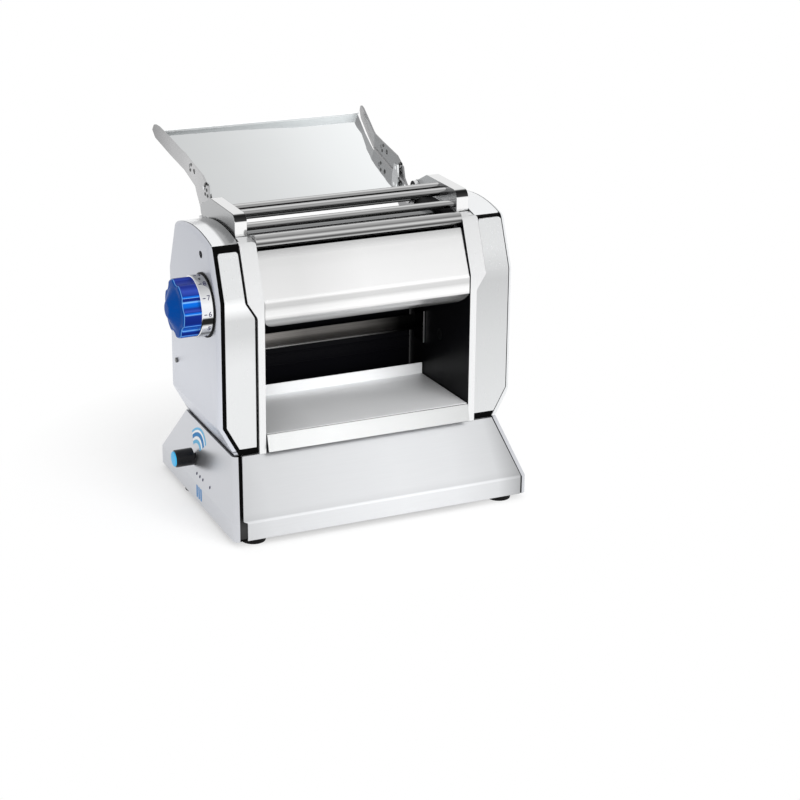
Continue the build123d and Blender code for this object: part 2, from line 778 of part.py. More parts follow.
with BuildPart() as deflector:
    add_box((-panel_half_length, panel_half_length), (deflector_y, deflector_y + sheet),
            (deflector_low, deflector_high))
    for inner, outer in ((panel_half_length - sheet, panel_half_length),
                         (-panel_half_length, sheet - panel_half_length)):
        add_box((inner, outer), (deflector_wing_y, deflector_y + sheet),
                (deflector_wing_low, deflector_wing_high))
    along_x(-panel_half_length, 2 * panel_half_length,
            (deflector_y, deflector_low + hem_radius), radius=hem_radius)
save(deflector, "deflector")


def scraper(axis_y, side):
    """Add a scraper blade below a roller, with the bar that carries it."""
    tip_y = axis_y - side * scraper_reach
    tip = (tip_y, roller_z - roller_radius - scraper_play)
    root = (tip_y + side * scraper_length, tip[1] - scraper_drop)
    with BuildSketch(Plane.YZ.offset(-bar_half)) as section:
        with BuildLine():
            Polyline(tip, root, (root[0], root[1] - 1.0), (tip[0], tip[1] - 1.0), close=True)
        make_face()
        with Locations((root[0], root[1] - 2.0)):
            Rectangle(scraper_bar, scraper_bar)
    extrude(section.sketch, amount=2 * bar_half)


with BuildPart() as scrapers:
    scraper(front_roller_y, -1)
    scraper(rear_roller_y, 1)
save(scrapers, "scrapers")


# ---------------------------------------------------------------- rollers

def roller(centre, right_end, left_end):
    """Add a smooth roller with shoulders and journals."""
    along_x(-roller_length / 2, roller_length, centre, radius=roller_radius)
    along_x(-bar_half, 2 * bar_half, centre, radius=shoulder_radius)
    along_x(-left_end, left_end + right_end, centre, radius=journal_radius)


with BuildPart() as front_roller:
    roller(front_roller_axis, cam_outer, gear_outer + 1.5)
save(front_roller, "front_roller")

with BuildPart() as rear_roller:
    roller(rear_roller_axis, gear_outer + 1.5, gear_outer + 1.5)
save(rear_roller, "rear_roller")

with BuildPart() as bearing_block:
    with BuildSketch(Plane.YZ.offset(frame_inner + end_play)):
        with Locations(front_roller_axis):
            Rectangle(2 * block_half_width, 2 * block_half_height)
    extrude(amount=cam_outer - frame_inner - end_play)
    # cam plate outside the frame, with a window in which the cam turns
    cam_face_y = gauge_y - cam_mid_radius - cam_play
    cam_reach = cam_mid_radius + travel_out + travel_in + 0.6
    plate_front = cam_face_y - 5.0
    plate_rear = front_roller_y + block_half_width
    plate_low = gauge_z - cam_reach - 4.0
    with BuildSketch(Plane.YZ.offset(cam_inner)):
        with BuildLine():
            Polyline((plate_front, plate_low), (plate_rear, plate_low),
                     (plate_rear, roller_z + block_half_height),
                     (front_roller_y - block_half_width, roller_z + block_half_height),
                     (front_roller_y - block_half_width, roller_z - block_half_height),
                     (plate_front, gauge_z + cam_reach), close=True)
        make_face()
    extrude(amount=cam_width)
    cut_box((cam_inner - 0.1, cam_outer + 0.1), (cam_face_y, plate_rear - 3.0),
            (gauge_z - cam_reach, gauge_z + cam_reach))
    bore_x(0.0, beyond, front_roller_axis, radius=journal_radius + running)
save_pair(bearing_block, "bearing_block")

with BuildPart() as roller_bushings:
    for start in (frame_inner, -head_outer):
        along_x(start, frame_head_thickness, rear_roller_axis, radius=journal_radius + bushing_wall)
    bore_x(-beyond, 2 * beyond, rear_roller_axis, radius=journal_radius + running)
save(roller_bushings, "roller_bushings")


# ---------------------------------------------------------------- gears

def flank_points(teeth, module, backlash, root_radius, tip_radius):
    """Points of one involute flank as (radius, half angle), from root to tip."""
    pitch_radius = module * teeth / 2
    base_radius = pitch_radius * math.cos(math.radians(pressure_angle))
    spread = math.tan(math.radians(pressure_angle)) - math.radians(pressure_angle)
    half_tooth = (math.pi * module - backlash) / (4 * pitch_radius)
    points = [(root_radius, half_tooth + spread)] if root_radius < base_radius else []
    start = max(root_radius, base_radius)
    for step in range(5):
        radius = start + (tip_radius - start) * step / 4
        roll = math.acos(min(1.0, base_radius / radius))
        points.append((radius, half_tooth + spread - (math.tan(roll) - roll)))
    return points


def gear_outline(centre, teeth, module, backlash, addendum, dedendum, phase):
    """Outline points of a spur gear with one tooth centred on the phase angle."""
    pitch_radius = module * teeth / 2
    flank = flank_points(teeth, module, backlash, pitch_radius - dedendum, pitch_radius + addendum)
    points = []
    for tooth in range(teeth):
        middle = math.radians(phase) + 2 * math.pi * tooth / teeth
        rising = [(radius, middle - half) for radius, half in flank]
        falling = [(radius, middle + half) for radius, half in reversed(flank)]
        points += [(centre[0] + r * math.cos(a), centre[1] + r * math.sin(a)) for r, a in rising + falling]
    return points


def gear(centre, teeth, module, backlash, addendum, dedendum, phase, bore, x_start):
    """Add a spur gear with its axis along X."""
    with BuildSketch(Plane.YZ.offset(x_start)) as outline:
        with BuildLine():
            Polyline(*gear_outline(centre, teeth, module, backlash, addendum, dedendum, phase),
                     close=True)
        make_face()
        if bore > 0:
            with Locations(centre):
                Circle(bore, mode=Mode.SUBTRACT)
    extrude(outline.sketch, amount=gear_width)


def mesh_phase(driver, driver_teeth, driver_phase, driven, driven_teeth):
    """Phase of the driven gear whose gap faces the driver's tooth."""
    bearing = math.degrees(math.atan2(driven[1] - driver[1], driven[0] - driver[0]))
    share = (bearing - driver_phase) * driver_teeth / 360
    return bearing + 180 - (0.5 - share) * 360 / driven_teeth


def train_gear(centre, teeth, phase, bore):
    """Add one gear of the drive train."""
    gear(centre, teeth, train_module, train_backlash, 0.95 * train_module, 1.2 * train_module,
         phase, bore, gear_inner)


pinion_phase = 0.0
lower_phase = mesh_phase(motor_axis, pinion_teeth, pinion_phase, lower_idler, idler_teeth)
middle_phase = mesh_phase(lower_idler, idler_teeth, lower_phase, middle_idler, idler_teeth)
upper_phase = mesh_phase(middle_idler, idler_teeth, middle_phase, upper_idler, idler_teeth)
drive_phase = mesh_phase(upper_idler, idler_teeth, upper_phase, rear_roller_axis, drive_teeth)

with BuildPart() as drive_pinion:
    train_gear(motor_axis, pinion_teeth, pinion_phase, 0.0)
    shaft_start = gearbox_right - pinion_shaft_depth
    along_x(shaft_start, gear_inner - shaft_start, motor_axis, radius=axle_radius)
save(drive_pinion, "drive_pinion")

idler_names = ("lower_idler_gear", "middle_idler_gear", "upper_idler_gear")
idler_phases = (lower_phase, middle_phase, upper_phase)
for idler_name, centre, phase in zip(idler_names, idler_axes, idler_phases):
    with BuildPart() as idler:
        train_gear(centre, idler_teeth, phase, axle_radius + running)
    save(idler, idler_name)

with BuildPart() as drive_gear:
    train_gear(rear_roller_axis, drive_teeth, drive_phase, journal_radius)
save(drive_gear, "drive_gear")

# the two rollers are geared together by long teeth, which stay in mesh as the gap changes
long_addendum = 2.6
long_dedendum = long_addendum + travel_in + 0.5
long_gears = {
    "rear_roller_gear": (rear_roller_axis, 0.0),
    "front_roller_gear": (front_roller_axis, mesh_phase(rear_roller_axis, long_tooth_count, 0.0,
                                                        front_roller_axis, long_tooth_count)),
}
for gear_name, (centre, phase) in long_gears.items():
    with BuildPart() as long_gear:
        gear(centre, long_tooth_count, long_module, long_backlash, long_addendum, long_dedendum,
             phase, journal_radius, -gear_outer)
    save(long_gear, gear_name)


# ---------------------------------------------------------------- gap gauge

with BuildPart() as gauge_shaft:
    along_x(drum_left, cam_outer - drum_left, gauge_axis, radius=gauge_shaft_radius)
    # spiral cams: the radius facing the block grows evenly as the gauge turns
    cam_points = []
    for degree in range(0, 271, 30):
        radius = cam_mid_radius + gap_per_degree * (180 - degree)
        angle = math.radians(degree)
        cam_points.append((gauge_y + radius * math.cos(angle), gauge_z + radius * math.sin(angle)))
    for cam_start in (cam_inner, -cam_outer):
        with BuildSketch(Plane.YZ.offset(cam_start)):
            with BuildLine():
                Spline(*cam_points)
                Line(cam_points[-1], cam_points[0])
            make_face()
        extrude(amount=cam_width)
save(gauge_shaft, "gauge_shaft")

with BuildPart() as gauge_drum:
    along_x(drum_left, drum_width, gauge_axis, radius=drum_radius)
    fillet(gauge_drum.edges().sort_by(Axis.X)[0], radius=1.5)
    bore_x(drum_left + drum_wall, drum_width, gauge_axis, radius=drum_radius - drum_wall)
    along_x(drum_left, drum_width, gauge_axis, radius=gauge_shaft_radius + 4.0)
    bore_x(drum_left - 1.0, drum_width + 2.0, gauge_axis, radius=gauge_shaft_radius)
save(gauge_drum, "gauge_drum")

with BuildPart() as gauge_knob:
    with BuildSketch(Plane.YZ.offset(drum_left - knob_width)):
        with Locations(gauge_axis):
            Circle(knob_radius)
            hollow_centre = knob_radius + knob_hollow_radius - knob_hollow_depth
            with PolarLocations(hollow_centre, knob_lobes, start_angle=knob_turn):
                Circle(knob_hollow_radius, mode=Mode.SUBTRACT)
        fillet(vertices(), radius=4.0)
    extrude(amount=knob_width)
    fillet(gauge_knob.edges().group_by(Axis.X)[0], radius=3.0)
    # the face rises to a blunt boss in the middle
    with BuildSketch(Plane.YZ.offset(drum_left - knob_width)):
        with Locations(gauge_axis):
            Circle(knob_dome_radius)
    with BuildSketch(Plane.YZ.offset(knob_tip_x)):
        with Locations(gauge_axis):
            Circle(knob_boss_radius)
    loft(ruled=True)
    fillet(gauge_knob.edges().group_by(Axis.X)[0], radius=4.0)
save(gauge_knob, "gauge_knob")


# ---------------------------------------------------------------- guard

with BuildPart() as guard_bracket:
    with BuildSketch(Plane.YZ.offset(guard_inner)):
        with BuildLine():
            Polyline((guard_front_y, guard_floor), (guard_front_y, guard_height),
                     (guard_pivot[0] - 22.0, guard_height), (guard_pivot[0] + 6.4, guard_pivot[1] + 4.4),
                     (guard_pivot[0] + 2.0, guard_pivot[1] - 6.0), (guard_pivot[0] - 8.0, guard_floor),
                     close=True)
        make_face()
        fillet(vertices().group_by(Axis.Y)[-1], radius=9.0)
        with Locations(guard_pivot):
            Circle(guard_end_radius)
    extrude(amount=guard_outer - guard_inner)
    bore_x(guard_inner - 1.0, 12.0, guard_pivot, radius=guard_pin_radius + running)
save_pair(guard_bracket, "guard_bracket")

with BuildPart() as guard_rod_set:
    along_x(-guard_inner, 2 * guard_inner, *guard_rods, radius=guard_rod_radius)
save(guard_rod_set, "guard_rods")

with BuildPart() as guard_pins:
    for start in (ear_inner, -guard_inner - 10.5):
        along_x(start, guard_inner + 10.5 - ear_inner, guard_pivot, radius=guard_pin_radius)
save(guard_pins, "guard_pins")


# ---------------------------------------------------------------- feed tray

with BuildPart() as feed_tray:
    sheet_between(tray_profile, tray_sheet, tray_half_length + tray_flare, Side.RIGHT)
    tip_x = tray_half_length + tray_flare
    tip_y = max(y for y, z in tray_profile) + tray_sheet
    keep_view(Plane.XY, (-tray_half_length, 0.0), (-tray_half_length, flare_start_y),
              (-tip_x, tip_y), (tip_x, tip_y), (tray_half_length, flare_start_y),
              (tray_half_length, 0.0))
    # lugs below the sheet turn on the pivot pins
    lug_x = tray_half_length - tray_lug_thickness
    for start in (lug_x, -tray_half_length):
        with BuildSketch(Plane.YZ.offset(start)):
            with BuildLine():
                Polyline((tray_pivot[0] - 10.0, tray_pivot[1] + 7.2),
                         (tray_pivot[0] + 14.0, tray_pivot[1] + 11.8),
                         (tray_pivot[0] + tray_lug_radius, tray_pivot[1]),
                         (tray_pivot[0] - tray_lug_radius, tray_pivot[1]), close=True)
            make_face()
            with Locations(tray_pivot):
                Circle(tray_lug_radius)
        extrude(amount=tray_lug_thickness)
        # a tab above the sheet carries the stop pin
        with BuildSketch(Plane.YZ.offset(start)):
            with BuildLine():
                Polyline((slot_low[0] - 7.0, slot_low[1] - 11.0), (slot_low[0] - 4.0, slot_low[1] + 4.0),
                         (slot_low[0] + 4.0, slot_low[1] + 4.0), (slot_low[0] + 8.0, slot_low[1] - 7.8),
                         close=True)
            make_face()
        extrude(amount=tray_lug_thickness)
    bore_x(-beyond, 2 * beyond, tray_pivot, radius=tray_pin_radius + running)
    bore_x(-beyond, 2 * beyond, slot_low, radius=slot_pin_radius)
save(feed_tray, "feed_tray")

# the arm's slot lies on an arc about the pivot and is as long as the tray's travel
slot_reach = math.hypot(slot_low[0] - tray_pivot[0], slot_low[1] - tray_pivot[1])
slot_angle = math.degrees(math.atan2(slot_low[1] - tray_pivot[1], slot_low[0] - tray_pivot[0]))
slot_path = CenterArc(tray_pivot, slot_reach, slot_angle, tray_tilt)
arm_outer = arm_inner + arm_thickness
with BuildPart() as tray_arm:
    with BuildSketch(Plane.YZ.offset(arm_inner)):
        with BuildLine():
            Polyline(*arm_outline, close=True)
        make_face()
        fillet(vertices().group_by(Axis.Y)[-1], radius=4.0)
    extrude(amount=arm_thickness + arm_flare)
    # the plate is bent outwards towards its tip
    keep_view(Plane.XY, (arm_inner, 0.0), (arm_outer, 0.0), (arm_outer, flare_start_y),
              (arm_outer + arm_flare, arm_tip_y), (arm_inner + arm_flare, arm_tip_y),
              (arm_inner, flare_start_y))
    bore_x(0.0, beyond, tray_pivot, radius=tray_pin_radius)
    bore_x(0.0, beyond, *arm_holes, radius=arm_hole_radius)
    with BuildSketch(Plane.YZ):
        SlotArc(slot_path, slot_width)
    extrude(amount=beyond, mode=Mode.SUBTRACT)
save_pair(tray_arm, "tray_arm")

with BuildPart() as tray_pins:
    for start in (lug_x, -arm_outer):
        along_x(start, arm_outer - lug_x, tray_pivot, radius=tray_pin_radius)
save(tray_pins, "tray_pins")

with BuildPart() as tray_stops:
    for start in (lug_x, -arm_outer - 1.0):
        along_x(start, arm_outer + 1.0 - lug_x, slot_low, radius=slot_pin_radius)
save(tray_stops, "tray_stops")

with BuildPart() as cover_screws:
    for start in (housing_half_length, -housing_half_length - cover_screw_height):
        along_x(start, cover_screw_height, cover_screw_place, radius=cover_screw_radius)
save(cover_screws, "cover_screws")
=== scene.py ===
import json
import math

import bmesh
import bpy
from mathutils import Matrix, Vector


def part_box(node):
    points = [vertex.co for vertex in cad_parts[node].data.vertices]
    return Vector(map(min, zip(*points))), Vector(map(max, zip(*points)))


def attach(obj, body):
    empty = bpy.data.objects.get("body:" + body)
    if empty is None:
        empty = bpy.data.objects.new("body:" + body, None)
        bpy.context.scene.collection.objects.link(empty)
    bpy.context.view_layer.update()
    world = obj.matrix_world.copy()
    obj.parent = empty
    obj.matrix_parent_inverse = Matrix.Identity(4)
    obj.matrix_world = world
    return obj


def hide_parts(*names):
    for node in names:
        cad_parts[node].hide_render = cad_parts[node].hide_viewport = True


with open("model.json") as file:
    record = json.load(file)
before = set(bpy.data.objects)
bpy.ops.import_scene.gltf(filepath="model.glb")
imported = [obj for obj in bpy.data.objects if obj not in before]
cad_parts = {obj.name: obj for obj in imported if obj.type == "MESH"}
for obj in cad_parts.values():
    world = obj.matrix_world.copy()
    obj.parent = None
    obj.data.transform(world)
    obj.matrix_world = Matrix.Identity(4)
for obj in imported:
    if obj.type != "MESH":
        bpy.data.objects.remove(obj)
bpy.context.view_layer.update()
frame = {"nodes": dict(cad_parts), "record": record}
nodes = frame["nodes"]
record = frame["record"]
body_of = {name: body for body, names in record["behaviour"]["bodies"].items() for name in names}
pivot_of = {joint["name"]: Vector(joint["pos_m"])
            for joint in record["behaviour"]["joints"] if "pos_m" in joint}


# ---------------------------------------------------------------- places read from the frame

bar_low, bar_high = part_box("front_bar")
INNER_LEFT = bar_low[0]                      # the inner faces of the two side frames
INNER_RIGHT = bar_high[0]
MIDDLE_X = (INNER_LEFT + INNER_RIGHT) / 2
DECK_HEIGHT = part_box("base_deck")[1][2]
SIDE_FACE_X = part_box("left_side_cover")[0][0]
BASE_FACE_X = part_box("left_base_panel")[0][0]
SKIRT_HEIGHT = 0.0245
SLOPE_INSET = 0.014                          # the base's left side leans in by this much
GAUGE_AXIS = pivot_of["gauge_turn"]
SELECTOR_AXIS = pivot_of["selector_turn"]
DRUM_LOW, DRUM_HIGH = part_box("gauge_drum")
DRUM_RADIUS = (DRUM_HIGH[2] - DRUM_LOW[2]) / 2


# ---------------------------------------------------------------- shader groups

def group_socket(group, name, direction, kind, default=None):
    """Add a named socket to a shader group."""
    socket = group.interface.new_socket(name=name, in_out=direction, socket_type=kind)
    if default is not None:
        socket.default_value = default
    return socket


def math_node(tree, operation, *values):
    """A math node whose inputs are numbers or the outputs of other nodes."""
    node = tree.nodes.new("ShaderNodeMath")
    node.operation = operation
    for slot, value in zip(node.inputs, values):
        if isinstance(value, (int, float)):
            slot.default_value = value
        else:
            tree.links.new(value, slot)
    return node.outputs[0]


def show(name, data):
    """Put a new object in the scene."""
    piece = bpy.data.objects.new(name, data)
    bpy.context.scene.collection.objects.link(piece)
    return piece


def make_grain_group():
    """Long fine scratches of brushed sheet: a roughness, a height and a tint."""
    group = bpy.data.node_groups.new("Brushed grain", "ShaderNodeTree")
    group_socket(group, "Stretch", "INPUT", "NodeSocketVector", (1.0, 1.0, 1.0))
    group_socket(group, "Roughness", "INPUT", "NodeSocketFloat", 0.3)
    group_socket(group, "Variation", "INPUT", "NodeSocketFloat", 0.05)
    group_socket(group, "Colour", "INPUT", "NodeSocketColor", (0.8, 0.8, 0.8, 1.0))
    group_socket(group, "Tint", "INPUT", "NodeSocketFloat", 0.05)
    group_socket(group, "Base Color", "OUTPUT", "NodeSocketColor")
    group_socket(group, "Rough", "OUTPUT", "NodeSocketFloat")
    group_socket(group, "Height", "OUTPUT", "NodeSocketFloat")
    inputs = group.nodes.new("NodeGroupInput")
    outputs = group.nodes.new("NodeGroupOutput")
    place = group.nodes.new("ShaderNodeTexCoord")
    stretch = group.nodes.new("ShaderNodeVectorMath")
    stretch.operation = "MULTIPLY"
    group.links.new(place.outputs["Object"], stretch.inputs[0])
    group.links.new(inputs.outputs["Stretch"], stretch.inputs[1])
    scratches = group.nodes.new("ShaderNodeTexNoise")
    scratches.inputs["Scale"].default_value = 60.0
    scratches.inputs["Detail"].default_value = 4.0
    scratches.inputs["Roughness"].default_value = 0.6
    group.links.new(stretch.outputs[0], scratches.inputs["Vector"])
    centred = math_node(group, "SUBTRACT", scratches.outputs["Fac"], 0.5)
    rough = math_node(group, "MULTIPLY_ADD", centred, inputs.outputs["Variation"],
                      inputs.outputs["Roughness"])
    gain = math_node(group, "MULTIPLY_ADD", centred, inputs.outputs["Tint"], 1.0)
    tinted = group.nodes.new("ShaderNodeVectorMath")
    tinted.operation = "SCALE"
    group.links.new(inputs.outputs["Colour"], tinted.inputs[0])
    group.links.new(gain, tinted.inputs["Scale"])
    group.links.new(tinted.outputs[0], outputs.inputs["Base Color"])
    group.links.new(rough, outputs.inputs["Rough"])
    group.links.new(scratches.outputs["Fac"], outputs.inputs["Height"])
    return group


grain_group = make_grain_group()


# ---------------------------------------------------------------- materials

def material(name, colour, roughness, metallic=0.0, variation=0.05, stretch=(1, 1, 1), tint=0.04,
             bump=0.0, coat=0.0, shine=0.5):
    """A surface with fine grain: metal, plastic, rubber or paint."""
    made = bpy.data.materials.new(name)
    made.use_nodes = True
    tree = made.node_tree
    shader = tree.nodes["Principled BSDF"]
    shader.inputs["Metallic"].default_value = metallic
    shader.inputs["Specular IOR Level"].default_value = shine
    shader.inputs["Coat Weight"].default_value = coat
    shader.inputs["Coat Roughness"].default_value = 0.08
    grain = tree.nodes.new("ShaderNodeGroup")
    grain.name = "grain"
    grain.node_tree = grain_group
    grain.inputs["Stretch"].default_value = stretch
    grain.inputs["Roughness"].default_value = roughness
    grain.inputs["Variation"].default_value = variation
    grain.inputs["Colour"].default_value = (*colour, 1.0)
    grain.inputs["Tint"].default_value = tint
    tree.links.new(grain.outputs["Base Color"], shader.inputs["Base Color"])
    tree.links.new(grain.outputs["Rough"], shader.inputs["Roughness"])
    if bump > 0:
        relief = tree.nodes.new("ShaderNodeBump")
        relief.inputs["Strength"].default_value = 1.0
        relief.inputs["Distance"].default_value = bump
        tree.links.new(grain.outputs["Height"], relief.inputs["Height"])
        tree.links.new(relief.outputs["Normal"], shader.inputs["Normal"])
    return made


def ramp_node(tree, source, stops):
    """A colour ramp of (position, brightness or colour) stops."""
    ramp = tree.nodes.new("ShaderNodeValToRGB")
    elements = ramp.color_ramp.elements
    while len(elements) < len(stops):
        elements.new(0.5)
    for element, (position, value) in zip(elements, stops):
        element.position = position
        element.color = (*value, 1.0) if isinstance(value, tuple) else (value, value, value, 1.0)
    tree.links.new(source, ramp.inputs[0])
    return ramp.outputs[0]


def multiply_colour(made, shade):
    """Multiply a material's grain colour by a shade."""
    tree = made.node_tree
    shader = tree.nodes["Principled BSDF"]
    current = shader.inputs["Base Color"].links[0].from_socket
    mixed = tree.nodes.new("ShaderNodeVectorMath")
    mixed.operation = "MULTIPLY"
    tree.links.new(current, mixed.inputs[0])
    tree.links.new(shade, mixed.inputs[1])
    tree.links.new(mixed.outputs[0], shader.inputs["Base Color"])


def shade_along(made, axis, stops):
    """Paint light and shade onto a material along one axis; each stop is a place in metres and a
    brightness.
    """
    tree = made.node_tree
    start, end = stops[0][0], stops[-1][0]
    place = tree.nodes.new("ShaderNodeTexCoord")
    split = tree.nodes.new("ShaderNodeSeparateXYZ")
    tree.links.new(place.outputs["Object"], split.inputs[0])
    share = tree.nodes.new("ShaderNodeMapRange")
    share.inputs["From Min"].default_value = start
    share.inputs["From Max"].default_value = end
    tree.links.new(split.outputs[axis], share.inputs["Value"])
    even = [((place - start) / (end - start), value) for place, value in stops]
    multiply_colour(made, ramp_node(tree, share.outputs["Result"], even))


def shade_by_facing(made, stops, attribute="facing"):
    """Paint shade and reflections by a stored attribute: facing is 0 where the surface looks down
    and 1 up.
    """
    tree = made.node_tree
    facing = tree.nodes.new("ShaderNodeAttribute")
    facing.attribute_name = attribute
    multiply_colour(made, ramp_node(tree, facing.outputs["Fac"], stops))


def knob_colour_and_painted_light(made, sides, face, edge):
    """Colour a knob with painted light: its sides lighter and darker by how far they face up, its
    end face in its own blue, and a painted highlight on the edge between.
    """
    tree = made.node_tree
    facing = tree.nodes.new("ShaderNodeAttribute")
    facing.attribute_name = "facing"
    ending = tree.nodes.new("ShaderNodeAttribute")
    ending.attribute_name = "ending"
    mix = tree.nodes.new("ShaderNodeMix")
    mix.data_type = "RGBA"
    mix.inputs["B"].default_value = (*face, 1.0)
    mix.inputs["A"].default_value = (1.0, 1.0, 1.0, 1.0)
    tree.links.new(ramp_node(tree, ending.outputs["Fac"], ((0.35, 0.0), (0.75, 1.0))),
                   mix.inputs["Factor"])
    tree.links.new(ramp_node(tree, facing.outputs["Fac"], sides), mix.inputs["A"])
    rim = tree.nodes.new("ShaderNodeMix")
    rim.data_type = "RGBA"
    rim.inputs["B"].default_value = (*edge, 1.0)
    tree.links.new(ramp_node(tree, ending.outputs["Fac"], ((0.48, 0.0), (0.60, 0.8), (0.72, 0.0))),
                   rim.inputs["Factor"])
    tree.links.new(mix.outputs["Result"], rim.inputs["A"])
    multiply_colour(made, rim.outputs["Result"])


def steel(name, colour, roughness, stretch, metallic=0.85, variation=0.08, tint=0.06, bump=0.0):
    """Sheet steel with a brushed grain."""
    return material(name, colour, roughness, metallic, variation, stretch, tint, bump)


UPRIGHT = (14, 14, 0.5)                      # grain runs up and down
LENGTHWISE = (0.5, 14, 14)                   # grain runs along the rollers
satin_steel = steel("satin steel", (0.79, 0.80, 0.81), 0.30, UPRIGHT)
# The two front covers are one steel: the right copy is darker as painted shade, and both get painted
# light and shade by height below
left_cover_steel_painted_light = steel("left cover steel", (0.80, 0.81, 0.815), 0.28, UPRIGHT, 0.85, 0.04, 0.02)
right_cover_steel_painted_shade = steel("right cover steel", (0.74, 0.75, 0.755), 0.28, UPRIGHT, 0.85, 0.04, 0.02)
# The left side cover and the base's side panels are darker, bluer copies of the steel: painted shade
# on faces turned from the light
side_cover_steel_painted_shade = steel("side steel", (0.52, 0.535, 0.58), 0.34, UPRIGHT)
base_side_steel_painted_shade = steel("base side steel", (0.60, 0.61, 0.64), 0.30, (3, 3, 3), 0.9, 0.04, 0.03)
base_steel_painted_light = steel("base steel", (0.76, 0.77, 0.785), 0.30, LENGTHWISE)
frame_steel_painted_shade = steel("frame steel", (0.82, 0.825, 0.83), 0.26, UPRIGHT)
# The guard brackets are one steel: the dark copy on their side faces is painted shade, the bright
# copy on the rest carries a painted reflection
bracket_steel_painted_shade = steel("bracket steel", (0.40, 0.405, 0.41), 0.24, (8, 8, 8), tint=0.03)
rim_steel_painted_reflection = steel("polished rim", (0.95, 0.95, 0.95), 0.10, (6, 6, 6), 1.0, 0.03, 0.02)
# The two top covers are one steel; the left copy carries a painted highlight
left_cap_steel_painted_highlight = steel("left cap steel", (0.84, 0.85, 0.86), 0.20, LENGTHWISE, tint=0.03)
right_cap_steel = steel("right cap steel", (0.84, 0.85, 0.86), 0.20, LENGTHWISE, tint=0.03)
tray_steel_painted_shade = steel("tray steel", (0.88, 0.90, 0.905), 0.05, (0.5, 3, 3), 1.0, 0.02, 0.01)
# A lighter copy of the tray steel for the tray's far lip: painted light
tray_end_steel_painted_light = steel("tray end steel", (0.86, 0.875, 0.88), 0.55, (0.5, 3, 3), 0.0, 0.02, 0.01)
# The two tray arms are one steel; the right copy is darker as painted shade
left_arm_steel_painted_light = steel("left arm steel", (0.40, 0.40, 0.405), 0.26, (4, 4, 4), 0.95, 0.05, 0.08)
right_arm_steel_painted_shade = steel("right arm steel", (0.26, 0.26, 0.265), 0.26, (4, 4, 4), 0.95, 0.05, 0.08)
outlet_steel_painted_shade = steel("outlet steel", (0.98, 0.99, 1.0), 0.40, LENGTHWISE, 0.15, tint=0.06)
apron_steel_painted_shade = steel("apron steel", (0.88, 0.89, 0.89), 0.22, LENGTHWISE, 0.9, tint=0.08)
wing_edge_steel = steel("wing edge steel", (0.70, 0.70, 0.70), 0.30, (4, 4, 4), 0.9, tint=0.03)
band_steel_painted_shade = steel("band steel", (0.30, 0.285, 0.27), 0.34, (0.3, 30, 60), 0.8, 0.15, 1.2)
hem_steel_painted_shade = steel("hem steel", (0.42, 0.415, 0.41), 0.25, (0.3, 30, 60), 0.9, 0.15, 0.5)
panel_steel_painted_reflection = steel("panel steel", (0.92, 0.92, 0.92), 0.16, LENGTHWISE, 0.9, 0.03, 0.03)
bar_chrome_painted_reflection = steel("bar chrome", (1.0, 1.0, 1.0), 0.10, (0.3, 20, 20), 1.0, 0.04, 0.14)
rod_chrome_painted_reflection = steel("rod chrome", (1.0, 1.0, 1.0), 0.10, (0.3, 30, 30), 1.0, 0.04, 0.30)
roller_chrome_painted_reflection = steel("roller chrome", (0.70, 0.71, 0.72), 0.14, (0.2, 60, 60), 1.0, 0.06, 0.9)
chrome = steel("chrome", (0.80, 0.81, 0.82), 0.08, (1, 1, 1), 1.0, 0.02, 0.02)
dark_metal = steel("dark head", (0.10, 0.10, 0.10), 0.25, (1, 1, 1), 1.0, 0.02, 0.02)
# Painted shade: near black on the frames' facing sides, the rear panel's front and the deflector's
# ends, inside the machine
inner_shade = material("inner face painted shade", (0.003, 0.003, 0.004), 0.40, 0.0, 0.10, shine=0.06)
black_rubber = material("black rubber", (0.004, 0.004, 0.004), 0.60, 0.0, 0.10, bump=0.0001,
                        shine=0.1)
black_paint = material("black paint", (0.001, 0.001, 0.001), 0.55, 0.0, 0.08, shine=0.04)
# The base seals' dark colour is painted shade in the seams between the base's sheets
seal_black_painted_shade = material("seal black", (0.05, 0.05, 0.05), 0.60, 0.0, 0.08, shine=0.04)
black_plastic = material("black plastic", (0.003, 0.003, 0.004), 0.22, 0.0, 0.08, shine=0.25)
dark_steel = steel("dark steel", (0.02, 0.02, 0.022), 0.35, LENGTHWISE)
# white, so that the knob's blue and its painted light and shade come from the colour ramps below
blue_plastic_painted_light = material("blue plastic", (1.0, 1.0, 1.0), 0.20, 0.0, 0.03, shine=0.02, tint=0.02)
cap_blue = material("light blue cap", (0.05, 0.45, 0.80), 0.30, 0.0, 0.05, shine=0.2)
print_blue = material("blue print", (0.03, 0.22, 0.52), 0.40, 0.0, 0.05, shine=0.1)
pale_blue = material("pale blue print", (0.16, 0.50, 0.78), 0.40, 0.0, 0.05, shine=0.1)
white_print = material("white print", (0.92, 0.95, 0.97), 0.40, 0.0, 0.05, shine=0.1)
ink = material("ink", (0.015, 0.012, 0.06), 0.45, 0.0, 0.05, shine=0.1)
drum_metal_painted_reflection = steel("drum metal", (0.92, 0.93, 0.95), 0.10, LENGTHWISE, 1.0, 0.04, 0.05)
gear_steel = steel("gear steel", (0.52, 0.52, 0.53), 0.35, (3, 3, 3), 1.0)
bronze = material("bronze", (0.56, 0.36, 0.16), 0.30, 1.0, 0.08)
casting = material("motor casting", (0.40, 0.41, 0.42), 0.50, 0.9, 0.10, bump=0.0002)

